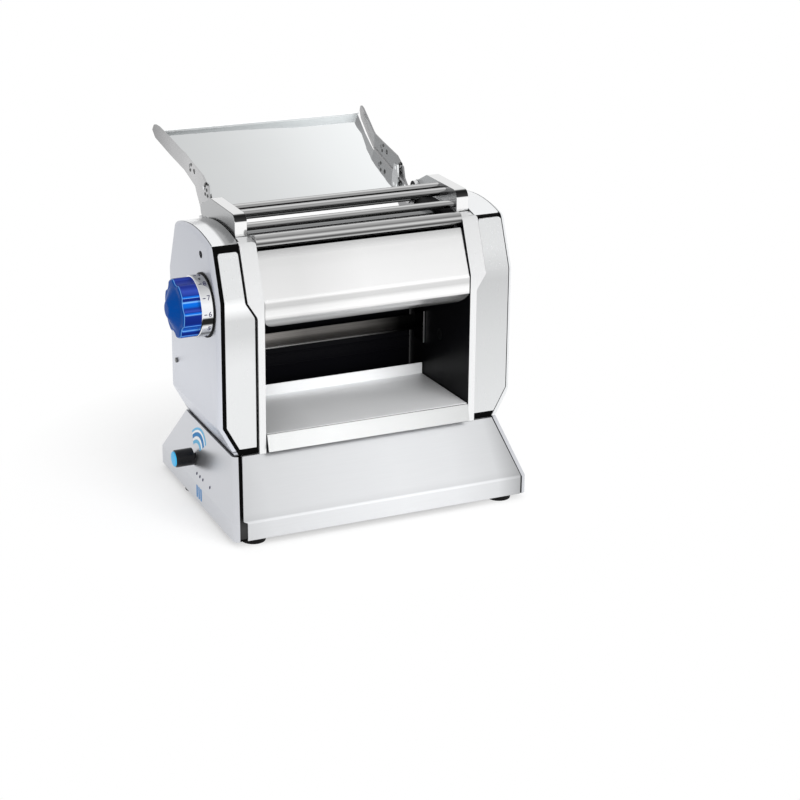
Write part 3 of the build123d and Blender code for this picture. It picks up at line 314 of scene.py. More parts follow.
PANEL_LOW, PANEL_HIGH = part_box("front_panel")
TRAY_LOW, TRAY_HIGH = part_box("feed_tray")
BAND_LOW, BAND_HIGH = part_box("deflector")
OUTLET_LOW, OUTLET_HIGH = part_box("outlet_tray")
COVER_LOW, COVER_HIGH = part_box("left_front_cover")
SIDE_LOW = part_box("left_side_cover")[0]
ARM_LOW, ARM_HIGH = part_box("left_tray_arm")
CAP_LOW, CAP_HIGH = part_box("left_top_cover")
BASE_LOW, BASE_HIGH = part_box("front_base_panel")
PANEL_BEND = PANEL_LOW[2] + 0.0265
STEP_MIDDLE = DECK_HEIGHT + 0.148             # where the frames and covers change width

# Painted reflections on the front panel: dark and bright bands by height round its bend, and a
# painted highlight across the middle
shade_along(panel_steel_painted_reflection, "Z", (
    (PANEL_LOW[2] - 0.001, 0.10), (PANEL_LOW[2] + 0.002, 0.45), (PANEL_LOW[2] + 0.005, 0.68),
    (PANEL_LOW[2] + 0.008, 0.58), (PANEL_LOW[2] + 0.013, 0.98), (PANEL_LOW[2] + 0.018, 0.90),
    (PANEL_BEND - 0.005, 0.66), (PANEL_BEND - 0.001, 0.68), (PANEL_BEND + 0.001, 1.0),
    (PANEL_BEND + 0.004, 0.84), (PANEL_HIGH[2] - 0.020, 0.80), (PANEL_HIGH[2] - 0.008, 0.74),
    (PANEL_HIGH[2], 0.50)))
shade_along(panel_steel_painted_reflection, "X", (
    (PANEL_LOW[0], 0.98), (PANEL_LOW[0] + 0.04, 0.97), (MIDDLE_X, 1.12), (PANEL_HIGH[0], 1.08)))
# Painted shade on the outlet tray: darker towards its left end
shade_along(outlet_steel_painted_shade, "X", (
    (OUTLET_LOW[0], 0.68), (MIDDLE_X - 0.05, 0.95), (MIDDLE_X, 1.0), (OUTLET_HIGH[0], 1.0)))
# Painted light and shade on the outlet's front apron: a painted highlight left of the middle, darker
# towards the right end
shade_along(apron_steel_painted_shade, "X", (
    (OUTLET_LOW[0], 0.95), (MIDDLE_X - 0.04, 1.04), (MIDDLE_X + 0.04, 0.93),
    (OUTLET_HIGH[0], 0.76)))
# Painted shade on the feed tray: darker towards its left end, and nearly black along its low end, a
# painted shade and reflection of the guard rods
shade_along(tray_steel_painted_shade, "X", (
    (TRAY_LOW[0], 0.68), (MIDDLE_X - 0.06, 0.74), (MIDDLE_X, 0.84), (MIDDLE_X + 0.05, 0.95),
    (TRAY_HIGH[0], 1.05)))
# Painted light on the tray's folded far end: brighter towards the right
shade_along(tray_end_steel_painted_light, "X", ((TRAY_LOW[0], 0.98), (TRAY_HIGH[0], 1.15)))
shade_along(tray_steel_painted_shade, "Y", (
    (TRAY_LOW[1], 0.08), (TRAY_LOW[1] + 0.017, 0.12), (TRAY_LOW[1] + 0.024, 1.0),
    (TRAY_HIGH[1], 1.0)))
# Painted light and shade along the left arm: brighter at mid length, darker at the tip
shade_along(left_arm_steel_painted_light, "Y", (
    (ARM_LOW[1], 1.05), (ARM_LOW[1] + 0.075, 1.28), (ARM_HIGH[1] - 0.045, 1.15),
    (ARM_HIGH[1], 0.72)))
# Painted highlight on the left top cover: a bright strip along its outer edge, darker beyond
shade_along(left_cap_steel_painted_highlight, "X", (
    (CAP_LOW[0], 1.0), (CAP_LOW[0] + 0.011, 1.0), (CAP_LOW[0] + 0.014, 0.42), (CAP_HIGH[0], 0.38)))
# Painted shade on the deflector's band and hem: darker towards the right end, black at it
for made in (band_steel_painted_shade, hem_steel_painted_shade):
    shade_along(made, "X", (
        (BAND_LOW[0], 1.1), (MIDDLE_X - 0.08, 1.0), (MIDDLE_X - 0.02, 0.45), (MIDDLE_X + 0.03, 0.42),
        (BAND_HIGH[0] - 0.045, 0.30), (BAND_HIGH[0] - 0.02, 0.01), (BAND_HIGH[0], 0.0)))
# Painted light and shade on the left front cover: a darker band below the step and a painted
# highlight just above it
shade_along(left_cover_steel_painted_light, "Z", (
    (COVER_LOW[2], 0.96), (STEP_MIDDLE - 0.055, 0.96), (STEP_MIDDLE - 0.040, 0.90),
    (STEP_MIDDLE - 0.024, 0.79), (STEP_MIDDLE - 0.008, 0.78), (STEP_MIDDLE + 0.002, 1.12),
    (STEP_MIDDLE + 0.008, 1.15), (STEP_MIDDLE + 0.014, 0.88), (COVER_HIGH[2], 0.86)))
# Painted shade on the right front cover: darkest near the step
shade_along(right_cover_steel_painted_shade, "Z", (
    (COVER_LOW[2], 0.96), (STEP_MIDDLE - 0.06, 0.86), (STEP_MIDDLE, 0.74),
    (STEP_MIDDLE + 0.03, 0.92), (COVER_HIGH[2], 0.90)))
# Painted light and shade on the left side cover: two dark lines and light bands at its lower fold,
# and lighter low down than high up
shade_along(side_cover_steel_painted_shade, "Z", (
    (SIDE_LOW[2], 0.20), (SIDE_LOW[2] + 0.0010, 0.20), (SIDE_LOW[2] + 0.0014, 1.10),
    (SIDE_LOW[2] + 0.0030, 1.10), (SIDE_LOW[2] + 0.0034, 0.25), (SIDE_LOW[2] + 0.0042, 0.25),
    (SIDE_LOW[2] + 0.0048, 1.30), (DECK_HEIGHT + 0.06, 1.24),
    (STEP_MIDDLE, 1.02), (COVER_HIGH[2], 0.98)))
# Painted shade on the side frames: darker towards the top
shade_along(frame_steel_painted_shade, "Z", (
    (DECK_HEIGHT, 1.02), (STEP_MIDDLE - 0.01, 1.0), (STEP_MIDDLE + 0.01, 0.92),
    (COVER_HIGH[2], 0.84)))
# Painted shade on the base's front sheet: darker towards both ends, darkest at the right
shade_along(base_steel_painted_light, "X", (
    (BASE_LOW[0], 0.74), (BASE_LOW[0] + 0.03, 0.85), (MIDDLE_X - 0.05, 0.94), (MIDDLE_X + 0.02, 1.0),
    (MIDDLE_X + 0.08, 0.96), (BASE_HIGH[0] - 0.026, 0.84), (BASE_HIGH[0] - 0.010, 0.62),
    (BASE_HIGH[0], 0.48)))
# Painted highlight along the skirt's bend, with a darker line just above it
shade_along(base_steel_painted_light, "Z", (
    (0.0, 1.06), (SKIRT_HEIGHT - 0.0014, 1.06), (SKIRT_HEIGHT - 0.0004, 1.22),
    (SKIRT_HEIGHT + 0.0008, 1.22), (SKIRT_HEIGHT + 0.0020, 0.93), (SKIRT_HEIGHT + 0.0070, 1.0),
    (DECK_HEIGHT, 1.0)))
# Painted shade in the base's seams: the seal strips are lighter along the skirt and near black above
# it
shade_along(seal_black_painted_shade, "Z", (
    (0.006, 0.5), (SKIRT_HEIGHT - 0.006, 0.7), (SKIRT_HEIGHT, 0.5), (SKIRT_HEIGHT + 0.005, 0.02),
    (DECK_HEIGHT, 0.02)))
# Painted reflections on the front bar, guard rods and rollers: light and dark stripes by how far
# each surface faces up
shade_by_facing(bar_chrome_painted_reflection, (
    (0.00, 0.002), (0.10, 0.03), (0.20, 0.60), (0.31, 0.48), (0.39, 0.12), (0.47, 0.08),
    (0.55, 0.35), (0.62, 0.66), (0.69, 0.55), (0.78, 0.16), (0.86, 0.30), (0.95, 0.42),
    (1.00, 0.66)))
shade_by_facing(rod_chrome_painted_reflection, (
    (0.00, 0.002), (0.20, 0.01), (0.34, 0.34), (0.46, 0.06), (0.57, 0.20), (0.69, 0.40),
    (0.78, 0.24), (0.87, 0.46), (0.95, 0.72), (1.00, 0.30)))
shade_by_facing(roller_chrome_painted_reflection, (
    (0.00, 0.01), (0.40, 0.02), (0.60, 0.06), (0.72, 0.20), (0.80, 0.45), (0.86, 0.22),
    (0.93, 0.50), (0.97, 0.30), (1.00, 0.40)))
# Painted reflection on the guard brackets' rims: a black band at the front bend between bright faces
shade_by_facing(rim_steel_painted_reflection, (
    (0.00, 0.5), (0.40, 0.85), (0.52, 1.0), (0.60, 0.95), (0.64, 0.05), (0.90, 0.01), (0.95, 0.06),
    (0.98, 0.78), (1.00, 0.80)))
# Painted reflections on the gauge drum: dark bands by how far the surface faces up
shade_by_facing(drum_metal_painted_reflection, (
    (0.00, 0.75), (0.10, 0.80), (0.16, 0.15), (0.20, 0.85), (0.30, 0.90), (0.34, 0.02),
    (0.43, 0.02), (0.46, 0.95), (0.66, 1.0), (0.80, 0.72), (0.90, 0.50), (1.00, 0.45)))
# Painted light and shade on the blue knob: light and dark bands on its sides by how they face, its
# own deep blue on the end face, and a pale blue painted highlight on the rim
knob_colour_and_painted_light(blue_plastic_painted_light, (
    (0.00, (0.005, 0.05, 0.30)), (0.20, (0.005, 0.08, 0.42)), (0.26, (0.14, 0.38, 0.75)),
    (0.30, (0.005, 0.05, 0.34)), (0.36, (0.004, 0.015, 0.14)), (0.50, (0.005, 0.018, 0.17)),
    (0.56, (0.16, 0.40, 0.80)), (0.60, (0.002, 0.11, 0.52)), (0.72, (0.003, 0.10, 0.48)),
    (0.80, (0.008, 0.025, 0.20)), (0.88, (0.03, 0.06, 0.34)), (0.93, (0.012, 0.025, 0.20)),
    (1.00, (0.03, 0.05, 0.26))), (0.0, 0.058, 0.30), (0.20, 0.48, 0.85))


# ---------------------------------------------------------------- dressed copies of the solids

def shade_smooth(mesh, degrees=35.0):
    """Smooth a mesh, but keep edges sharper than the given angle."""
    mesh.polygons.foreach_set("use_smooth", [True] * len(mesh.polygons))
    mesh.set_sharp_from_angle(angle=math.radians(degrees))


def store_facing(mesh):
    """Keep at every corner how far the surface faces up, and how far it faces along X."""
    facing = mesh.attributes.new("facing", "FLOAT", "CORNER")
    facing.data.foreach_set("value", [0.5 + 0.5 * corner.vector.z
                                      for corner in mesh.corner_normals])
    ending = mesh.attributes.new("ending", "FLOAT", "CORNER")
    ending.data.foreach_set("value", [abs(corner.vector.x) for corner in mesh.corner_normals])


def dress(name, finish, width=0.0004, others=()):
    """Stand a bevelled copy of a solid in for it; a face takes the first other finish whose test
    it passes, and else the main finish."""
    mesh = nodes[name].data.copy()
    mesh.materials.clear()
    build = bmesh.new()
    build.from_mesh(mesh)
    bmesh.ops.remove_doubles(build, verts=build.verts, dist=2e-6)
    bmesh.ops.dissolve_limit(build, angle_limit=math.radians(0.4), verts=build.verts,
                             edges=build.edges)
    for face in build.faces:
        place, normal = face.calc_center_median(), face.normal
        passed = [index for index, (other, test) in enumerate(others, 1) if test(place, normal)]
        face.material_index = passed[0] if passed else 0
    build.to_mesh(mesh)
    build.free()
    shade_smooth(mesh)
    piece = show(f"{name}_skin", mesh)
    mesh.materials.append(finish)
    for other, test in others:
        mesh.materials.append(other)
    if width > 0:
        bevel = piece.modifiers.new("edges", "BEVEL")
        bevel.width = width
        bevel.segments = 2
        bevel.limit_method = "ANGLE"
        bevel.angle_limit = math.radians(30)
        bevel.harden_normals = True
        bevel.material = -1
        make_real(piece)
    store_facing(piece.data)
    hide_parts(name)
    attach(piece, body_of[name])
    return piece


def make_real(piece):
    """Turn a piece's modifiers into its own mesh."""
    shown = piece.evaluated_get(bpy.context.evaluated_depsgraph_get())
    mesh = bpy.data.meshes.new_from_object(shown, preserve_all_data_layers=True,
                                           depsgraph=bpy.context.evaluated_depsgraph_get())
    piece.modifiers.clear()
    piece.data = mesh


def add_piece(name, mesh, finish, body):
    """Show a new piece that rides on a body."""
    piece = show(name, mesh)
    if not mesh.materials:
        mesh.materials.append(finish)
    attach(piece, body)
    return piece


def faces_inwards(place, normal):
    """True on the faces of the side frames that look at each other."""
    reach = 0.0032                           # the hinge ears stand a little in front of the frames
    return (normal.x > 0.9 and INNER_LEFT - 0.001 < place.x < INNER_LEFT + reach
            or normal.x < -0.9 and INNER_RIGHT - reach < place.x < INNER_RIGHT + 0.001)


def faces_front(place, normal):
    """True on every face but the one that looks back."""
    return normal.y < -0.2 or abs(normal.z) > 0.5 or abs(normal.x) > 0.5


def faces_along_x(place, normal):
    return abs(normal.x) > 0.9


def is_far_edge(place, normal):
    """True on the folded far end of the feed tray."""
    return place.y > TRAY_HIGH[1] - 0.008


def is_apron(place, normal):
    """True on the part of the outlet sheet that hangs in front."""
    return normal.y < -0.35 and place.y < OUTLET_LOW[1] + 0.015


def is_hem(place, normal):
    """True on the deflector's round lower edge."""
    return place.z < BAND_LOW[2] + 0.0125 and place.y > BAND_LOW[1] + 0.012


def is_wing_edge(place, normal):
    """True on the front edges of the deflector's bent ends."""
    return normal.y < -0.7 and place.y < BAND_LOW[1] + 0.002


def is_wing(place, normal):
    """True on the ends of the deflector that are bent forward."""
    return abs(normal.x) > 0.6 or place.z < BAND_LOW[2] + 0.008 or place.z > BAND_HIGH[2] - 0.008


def dress_all():
    """Give the outer solids rounded edges and their finishes."""
    # Lit and shaded copies of one steel: the right front cover and right arm are darker, the left
    # side cover darker and bluer, and the left top cover carries a painted highlight
    covers = {"left": left_cover_steel_painted_light, "right": right_cover_steel_painted_shade}
    arms = {"left": left_arm_steel_painted_light, "right": right_arm_steel_painted_shade}
    caps = {"left": left_cap_steel_painted_highlight, "right": right_cap_steel}
    sides = {"left": side_cover_steel_painted_shade, "right": satin_steel}
    for side in ("left", "right"):
        dress(f"{side}_side_cover", sides[side], 0.0006)
        dress(f"{side}_front_cover", covers[side], 0.0006)
        dress(f"{side}_rear_cover", satin_steel, 0.0006)
        dress(f"{side}_top_cover", caps[side], 0.0005)
        dress(f"{side}_base_panel", base_side_steel_painted_shade, 0.0006)
        # the frames' facing sides take painted shade
        dress(f"{side}_frame", frame_steel_painted_shade, 0.0008, ((inner_shade, faces_inwards),))
        dress(f"{side}_guard_bracket", rim_steel_painted_reflection, 0.0014, ((bracket_steel_painted_shade, faces_along_x),))
        dress(f"{side}_tray_arm", arms[side], 0.0004)
    dress("front_base_panel", base_steel_painted_light, 0.0006)
    dress("rear_base_panel", satin_steel, 0.0006)
    dress("front_panel", panel_steel_painted_reflection, 0.0005)
    # the rear panel's front takes painted shade
    dress("rear_panel", satin_steel, 0.0004, ((inner_shade, faces_front),))
    dress("outlet_tray", outlet_steel_painted_shade, 0.0006, ((apron_steel_painted_shade, is_apron),))
    # the deflector's bent ends take painted shade
    dress("deflector", band_steel_painted_shade, 0.0, ((wing_edge_steel, is_wing_edge), (hem_steel_painted_shade, is_hem),
                                         (inner_shade, is_wing)))
    dress("feed_tray", tray_steel_painted_shade, 0.0004, ((left_arm_steel_painted_light, faces_along_x),
                                            (tray_end_steel_painted_light, is_far_edge)))
    dress("gauge_knob", blue_plastic_painted_light, 0.0)
    dress("gauge_drum", drum_metal_painted_reflection, 0.0)
    dress("selector_knob", black_plastic, 0.0006)
    dress("guard_rods", rod_chrome_painted_reflection, 0.0)
    dress("front_bar", bar_chrome_painted_reflection, 0.0006)
    for name in ("front_roller", "rear_roller"):
        dress(name, roller_chrome_painted_reflection, 0.0)


FINISH = {
    base_steel_painted_light: ("base_deck",),
    chrome: ("guard_pins", "tray_stops", "tray_pins"),
    dark_metal: ("cover_screws",),
    dark_steel: ("tie_rods", "scrapers", "idler_axles"),
    black_rubber: ("rubber_feet",),
    seal_black_painted_shade: ("left_base_seal", "right_base_seal"),
    # the housing liners' black is painted shade seen through the seams round the covers
    black_paint: ("left_housing_liner", "right_housing_liner", "base_plate"),
    black_plastic: ("selector_switch", "cord_gland"),
    gear_steel: ("drive_gear", "drive_pinion", "lower_idler_gear", "middle_idler_gear",
                 "upper_idler_gear", "front_roller_gear", "rear_roller_gear", "gauge_shaft",
                 "left_bearing_block", "right_bearing_block"),
    bronze: ("roller_bushings",),
    casting: ("motor", "gearbox"),
}


def finish_nodes():
    """Give the solids that stay as they are their finishes."""
    for finish, names in FINISH.items():
        for name in names:
            if not nodes[name].material_slots:
                nodes[name].data.materials.append(finish)
            for slot in nodes[name].material_slots:
                slot.material = finish


finish_nodes()
dress_all()


# ---------------------------------------------------------------- gauge marks

MARK_STEP = math.radians(30.0)
MARK_COUNT = 10
FIRST_MARK = math.radians(-90.0)
TICK_SIZE = (0.0005, 0.0007, 0.0028)
TICK_SHARE = 0.30                            # how far along the drum the ticks stand
NUMERAL_SHARE = 0.66
NUMERAL_SIZE = 0.0072
RING_OUTSIDE = 0.0014                        # the dark ring reaches this far past the drum
RING_INSIDE = 0.0010
RING_HEIGHT = 0.0013


def ring_tree(finish):
    """Geometry nodes: small bars in an arc round the X axis."""
    tree = bpy.data.node_groups.new("Ring of marks", "GeometryNodeTree")
    group_socket(tree, "Count", "INPUT", "NodeSocketInt", 10)
    group_socket(tree, "Radius", "INPUT", "NodeSocketFloat", 0.03)
    group_socket(tree, "Start", "INPUT", "NodeSocketFloat", 0.0)
    group_socket(tree, "Sweep", "INPUT", "NodeSocketFloat", 1.0)
    group_socket(tree, "Size", "INPUT", "NodeSocketVector", (0.001, 0.001, 0.001))
    group_socket(tree, "Centre", "INPUT", "NodeSocketVector", (0.0, 0.0, 0.0))
    group_socket(tree, "Geometry", "OUTPUT", "NodeSocketGeometry")
    inputs = tree.nodes.new("NodeGroupInput")
    outputs = tree.nodes.new("NodeGroupOutput")
    arc = tree.nodes.new("GeometryNodeCurveArc")
    bar = tree.nodes.new("GeometryNodeMeshCube")
    radial = tree.nodes.new("FunctionNodeAlignRotationToVector")
    radial.axis = "X"
    place = tree.nodes.new("GeometryNodeInputPosition")
    points = tree.nodes.new("GeometryNodeCurveToPoints")
    points.mode = "EVALUATED"
    marks = tree.nodes.new("GeometryNodeInstanceOnPoints")
    turn = tree.nodes.new("GeometryNodeTransform")
    turn.inputs["Rotation"].default_value = (math.radians(90), 0.0, math.radians(90))
    real = tree.nodes.new("GeometryNodeRealizeInstances")
    paint = tree.nodes.new("GeometryNodeSetMaterial")
    paint.inputs["Material"].default_value = finish
    link = tree.links.new
    link(inputs.outputs["Count"], arc.inputs["Resolution"])
    link(inputs.outputs["Radius"], arc.inputs["Radius"])
    link(inputs.outputs["Start"], arc.inputs["Start Angle"])
    link(inputs.outputs["Sweep"], arc.inputs["Sweep Angle"])
    link(inputs.outputs["Size"], bar.inputs["Size"])
    link(arc.outputs["Curve"], points.inputs["Curve"])
    link(points.outputs["Points"], marks.inputs["Points"])
    link(bar.outputs["Mesh"], marks.inputs["Instance"])
    link(place.outputs[0], radial.inputs["Vector"])
    link(radial.outputs[0], marks.inputs["Rotation"])
    link(marks.outputs[0], turn.inputs["Geometry"])
    link(inputs.outputs["Centre"], turn.inputs["Translation"])
    link(turn.outputs[0], real.inputs[0])
    link(real.outputs[0], paint.inputs["Geometry"])
    link(paint.outputs[0], outputs.inputs["Geometry"])
    return tree


def grow(name, tree, values, body, points=()):
    """Build a piece from a geometry tree and its named inputs."""
    mesh = bpy.data.meshes.new(name)
    mesh.from_pydata(points, [], [])
    piece = show(name, mesh)
    modifier = piece.modifiers.new("grown", "NODES")
    modifier.node_group = tree
    sockets = {item.name: item.identifier for item in tree.interface.items_tree
               if item.item_type == "SOCKET" and item.in_out == "INPUT"}
    for label, value in values.items():
        modifier[sockets[label]] = value
    make_real(piece)
    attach(piece, body)
    return piece


def numeral(text, size):
    """A flat mesh of one numeral, centred."""
    curve = bpy.data.curves.new("numeral", "FONT")
    curve.body = text
    curve.size = size
    curve.align_x = "CENTER"
    curve.align_y = "CENTER"
    curve.extrude = 0.00015
    letter = show("numeral", curve)
    mesh = bpy.data.meshes.new_from_object(
        letter.evaluated_get(bpy.context.evaluated_depsgraph_get()))
    bpy.data.objects.remove(letter)
    return mesh


def gauge_marks():
    """Ticks and numerals round the gauge drum, and a dark ring behind it."""
    width = DRUM_HIGH[0] - DRUM_LOW[0]
    tick_x = DRUM_LOW[0] + TICK_SHARE * width
    grow("gauge_ticks", ring_tree(ink),
         {"Count": MARK_COUNT, "Radius": DRUM_RADIUS, "Start": FIRST_MARK,
          "Sweep": MARK_STEP * (MARK_COUNT - 1), "Size": TICK_SIZE,
          "Centre": (tick_x, GAUGE_AXIS.y, GAUGE_AXIS.z)}, "gauge")
    build = bmesh.new()
    for index in range(MARK_COUNT):
        mesh = numeral(str(MARK_COUNT - 1 - index), NUMERAL_SIZE)
        angle = math.pi + FIRST_MARK + index * MARK_STEP
        for vertex in mesh.vertices:
            around = angle - vertex.co.y / DRUM_RADIUS
            reach = DRUM_RADIUS + vertex.co.z
            vertex.co = (DRUM_LOW[0] + NUMERAL_SHARE * width + vertex.co.x,
                         GAUGE_AXIS.y + reach * math.cos(around),
                         GAUGE_AXIS.z + reach * math.sin(around))
        build.from_mesh(mesh)
    joined = bpy.data.meshes.new("gauge_numerals")
    bmesh.ops.recalc_face_normals(build, faces=build.faces)
    build.to_mesh(joined)
    build.free()
    add_piece("gauge_numerals", joined, ink, "gauge")
    ring = turned_ring(SIDE_FACE_X + 0.0001, DRUM_RADIUS + RING_OUTSIDE, DRUM_RADIUS - RING_INSIDE,
                       RING_HEIGHT)
    add_piece("gauge_ring", ring, black_rubber, "base")


def turned_ring(face_x, outer, inner, height, steps=64):
    """A flat ring that stands on the left side face, round the gauge's axis."""
    build = bmesh.new()
    rows = []
    profile = ((inner, 0.0), (inner, height), (inner + 0.0003, height + 0.0002),
               (outer - 0.0003, height + 0.0002), (outer, height), (outer, 0.0))
    for step in range(steps):
        angle = 2 * math.pi * step / steps
        rows.append([build.verts.new((face_x - depth, GAUGE_AXIS.y + radius * math.cos(angle),
                                      GAUGE_AXIS.z + radius * math.sin(angle)))
                     for radius, depth in profile])
    count = len(profile)
    for step in range(steps):
        following = rows[(step + 1) % steps]
        for index in range(count):
            after = (index + 1) % count
            build.faces.new((rows[step][index], rows[step][after], following[after],
                             following[index]))
    bmesh.ops.recalc_face_normals(build, faces=build.faces)
    mesh = bpy.data.meshes.new("ring")
    build.to_mesh(mesh)
    build.free()
    shade_smooth(mesh)
    return mesh


def turned_disc(face_x, axis, radius, height, steps=48):
    """A low round cap that stands out from an end face, towards -X."""
    profile = ((radius, -0.0004), (radius, height * 0.6), (radius * 0.93, height),
               (radius * 0.5, height * 1.15))
    build = bmesh.new()
    rings = []
    for reach, depth in profile:
        rings.append([build.verts.new((face_x - depth,
                                       axis.y + reach * math.cos(2 * math.pi * step / steps),
                                       axis.z + reach * math.sin(2 * math.pi * step / steps)))
                      for step in range(steps)])
    for first, second in zip(rings, rings[1:]):
        for step in range(steps):
            after = (step + 1) % steps
            build.faces.new((first[step], first[after], second[after], second[step]))
    build.faces.new(rings[-1])
    build.faces.new(list(reversed(rings[0])))
    bmesh.ops.recalc_face_normals(build, faces=build.faces)
    mesh = bpy.data.meshes.new("cap")
    build.to_mesh(mesh)
    build.free()
    shade_smooth(mesh)
    return mesh


gauge_marks()


# ---------------------------------------------------------------- marks on the base's left side

SCALE_START, SCALE_END = 42.0, 138.0         # degrees round the selector
SCALE_BANDS = ((0.0130, 0.0165, pale_blue), (0.0170, 0.0195, white_print),
               (0.0200, 0.0240, print_blue), (0.0245, 0.0262, white_print),
               (0.0267, 0.0290, pale_blue))  # inner and outer radius, and finish
SPOT_OFFSETS = (0.0157, 0.0250, 0.0340, 0.0550)      # from the selector, along the base
SPOT_RADIUS = 0.0016
SPOT_HEIGHT = 0.0333
BAR_OFFSETS = (0.0205, 0.0265, 0.0325)
BAR_WIDTH = 0.0034
BAR_LENGTH = 0.0130
BAR_FOOT = 0.0105                            # height of the bars' lower ends
CAP_RADIUS = 0.0078
CAP_HEIGHT = 0.0012


def slope_place(y, height):
    """A point on the sloping left side of the base, with its axes: along the machine, up, out."""
    rise = DECK_HEIGHT - SKIRT_HEIGHT
    up = Vector((SLOPE_INSET, 0.0, rise)).normalized()
    along = Vector((0.0, -1.0, 0.0))
    out = along.cross(up)
    share = (height - SKIRT_HEIGHT) / rise
    point = Vector((BASE_FACE_X + SLOPE_INSET * share, y, height))
    return point, along, up, out


def skirt_place(y, height):
    """A point on the upright skirt below the slope, with its axes: along the machine, up, out."""
    along = Vector((0.0, -1.0, 0.0))
    up = Vector((0.0, 0.0, 1.0))
    return Vector((BASE_FACE_X, y, height)), along, up, along.cross(up)


def printed(name, outlines, place, finish, lift=0.00012):
    """Thin printed shapes on a plane: outlines are lists of (along, up) points."""
    point, along, up, out = place
    build = bmesh.new()
    for outline in outlines:
        base = [build.verts.new(point + along * a + up * u - out * 0.0002) for a, u in outline]
        top = [build.verts.new(point + along * a + up * u + out * lift) for a, u in outline]
        build.faces.new(top)
        build.faces.new(list(reversed(base)))
        for index in range(len(outline)):
            after = (index + 1) % len(outline)
            build.faces.new((base[index], base[after], top[after], top[index]))
    bmesh.ops.recalc_face_normals(build, faces=build.faces)
    mesh = bpy.data.meshes.new(name)
    build.to_mesh(mesh)
    build.free()
    return add_piece(name, mesh, finish, "base")


def disc(along, up, radius, steps=24):
    """Outline of a round spot."""
    return [(along + radius * math.cos(2 * math.pi * step / steps),
             up + radius * math.sin(2 * math.pi * step / steps)) for step in range(steps)]


def arc_band(inner, outer, first, last, steps=16):
    """Outline of a curved band between two radii and two angles in degrees."""
    angles = [math.radians(first + (last - first) * step / steps) for step in range(steps + 1)]
    return ([(inner * math.cos(angle), inner * math.sin(angle)) for angle in reversed(angles)]
            + [(outer * math.cos(angle), outer * math.sin(angle)) for angle in angles])


def base_marks():
    """A banded scale above the selector, four small sockets and three bars on the skirt."""
    place = slope_place(SELECTOR_AXIS.y, SELECTOR_AXIS.z)
    for index, (inner, outer, finish) in enumerate(SCALE_BANDS):
        printed(f"selector_scale_{index}", [arc_band(inner, outer, SCALE_START, SCALE_END)], place,
                finish)
    spots = [disc(offset, 0.0, SPOT_RADIUS) for offset in SPOT_OFFSETS]
    printed("socket_spots", spots, slope_place(SELECTOR_AXIS.y, SPOT_HEIGHT), ink)
    bars = [[(start, 0.0), (start + BAR_WIDTH, 0.0), (start + BAR_WIDTH, BAR_LENGTH),
             (start, BAR_LENGTH)] for start in BAR_OFFSETS]
    printed("side_bars", bars, skirt_place(SELECTOR_AXIS.y, BAR_FOOT), print_blue)
    cap = turned_disc(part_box("selector_knob")[0][0], SELECTOR_AXIS, CAP_RADIUS, CAP_HEIGHT)
    add_piece("selector_cap", cap, cap_blue, "selector")


base_marks()


# ---------------------------------------------------------------- rivets and screws

ARM_THICKNESS = 0.002
RIVET_RADIUS = 0.0019
RIVET_HEIGHT = 0.0008
RIVET_SPOTS = ((0.0795, 0.3193), (0.0705, 0.3150), (0.0825, 0.3130), (0.0360, 0.3085),
               (0.0320, 0.3035), (0.0365, 0.2985), (0.0295, 0.2980))     # Y and Z


def heads_tree(finish):
    """Geometry nodes: a low round head on every point, its axis along X."""
    tree = bpy.data.node_groups.new("Round heads", "GeometryNodeTree")
    group_socket(tree, "Places", "INPUT", "NodeSocketGeometry")
    group_socket(tree, "Radius", "INPUT", "NodeSocketFloat", 0.002)
    group_socket(tree, "Height", "INPUT", "NodeSocketFloat", 0.001)
    group_socket(tree, "Geometry", "OUTPUT", "NodeSocketGeometry")
    inputs = tree.nodes.new("NodeGroupInput")
    outputs = tree.nodes.new("NodeGroupOutput")
    dome = tree.nodes.new("GeometryNodeMeshUVSphere")
    dome.inputs["Segments"].default_value = 24
    dome.inputs["Rings"].default_value = 12
    dome.inputs["Radius"].default_value = 1.0
    size = tree.nodes.new("ShaderNodeCombineXYZ")
    marks = tree.nodes.new("GeometryNodeInstanceOnPoints")
    real = tree.nodes.new("GeometryNodeRealizeInstances")
    smooth = tree.nodes.new("GeometryNodeSetShadeSmooth")
    paint = tree.nodes.new("GeometryNodeSetMaterial")
    paint.inputs["Material"].default_value = finish
    link = tree.links.new
    link(inputs.outputs["Height"], size.inputs["X"])
    link(inputs.outputs["Radius"], size.inputs["Y"])
    link(inputs.outputs["Radius"], size.inputs["Z"])
    link(inputs.outputs["Places"], marks.inputs["Points"])
    link(dome.outputs["Mesh"], marks.inputs["Instance"])
    link(size.outputs[0], marks.inputs["Scale"])
    link(marks.outputs[0], real.inputs[0])
    link(real.outputs[0], smooth.inputs["Geometry"])
    link(smooth.outputs[0], paint.inputs["Geometry"])
    link(paint.outputs[0], outputs.inputs["Geometry"])
    return tree


def arm_rivets():
    """Rivet heads on both faces of both tray arms, near the hinge."""
    left_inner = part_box("left_tray_arm")[1][0]
    right_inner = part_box("right_tray_arm")[0][0]
    faces = (right_inner, right_inner + ARM_THICKNESS, left_inner, left_inner - ARM_THICKNESS)
    points = [(x, y, z) for x in faces for y, z in RIVET_SPOTS]
    grow("arm_rivets", heads_tree(dark_metal), {"Radius": RIVET_RADIUS, "Height": RIVET_HEIGHT},
         "base", points)


arm_rivets()


# ---------------------------------------------------------------- stage, light and camera

CAMERA_PLACE = Vector((-0.73315, -1.8291, 0.8214))
CAMERA_AIM = Vector((0.01865, -0.0510, 0.1900))
LENS = 89.81                     # on a sensor 36 mm wide
SHIFT = (0.0775, -0.1166)
FLOOR_REACH = 4.0
FADE_START, FADE_END = 0.19, 0.32            # the floor fades to plain white between these radii
FADE_LEAST = 0.45                            # share of plain white below the machine


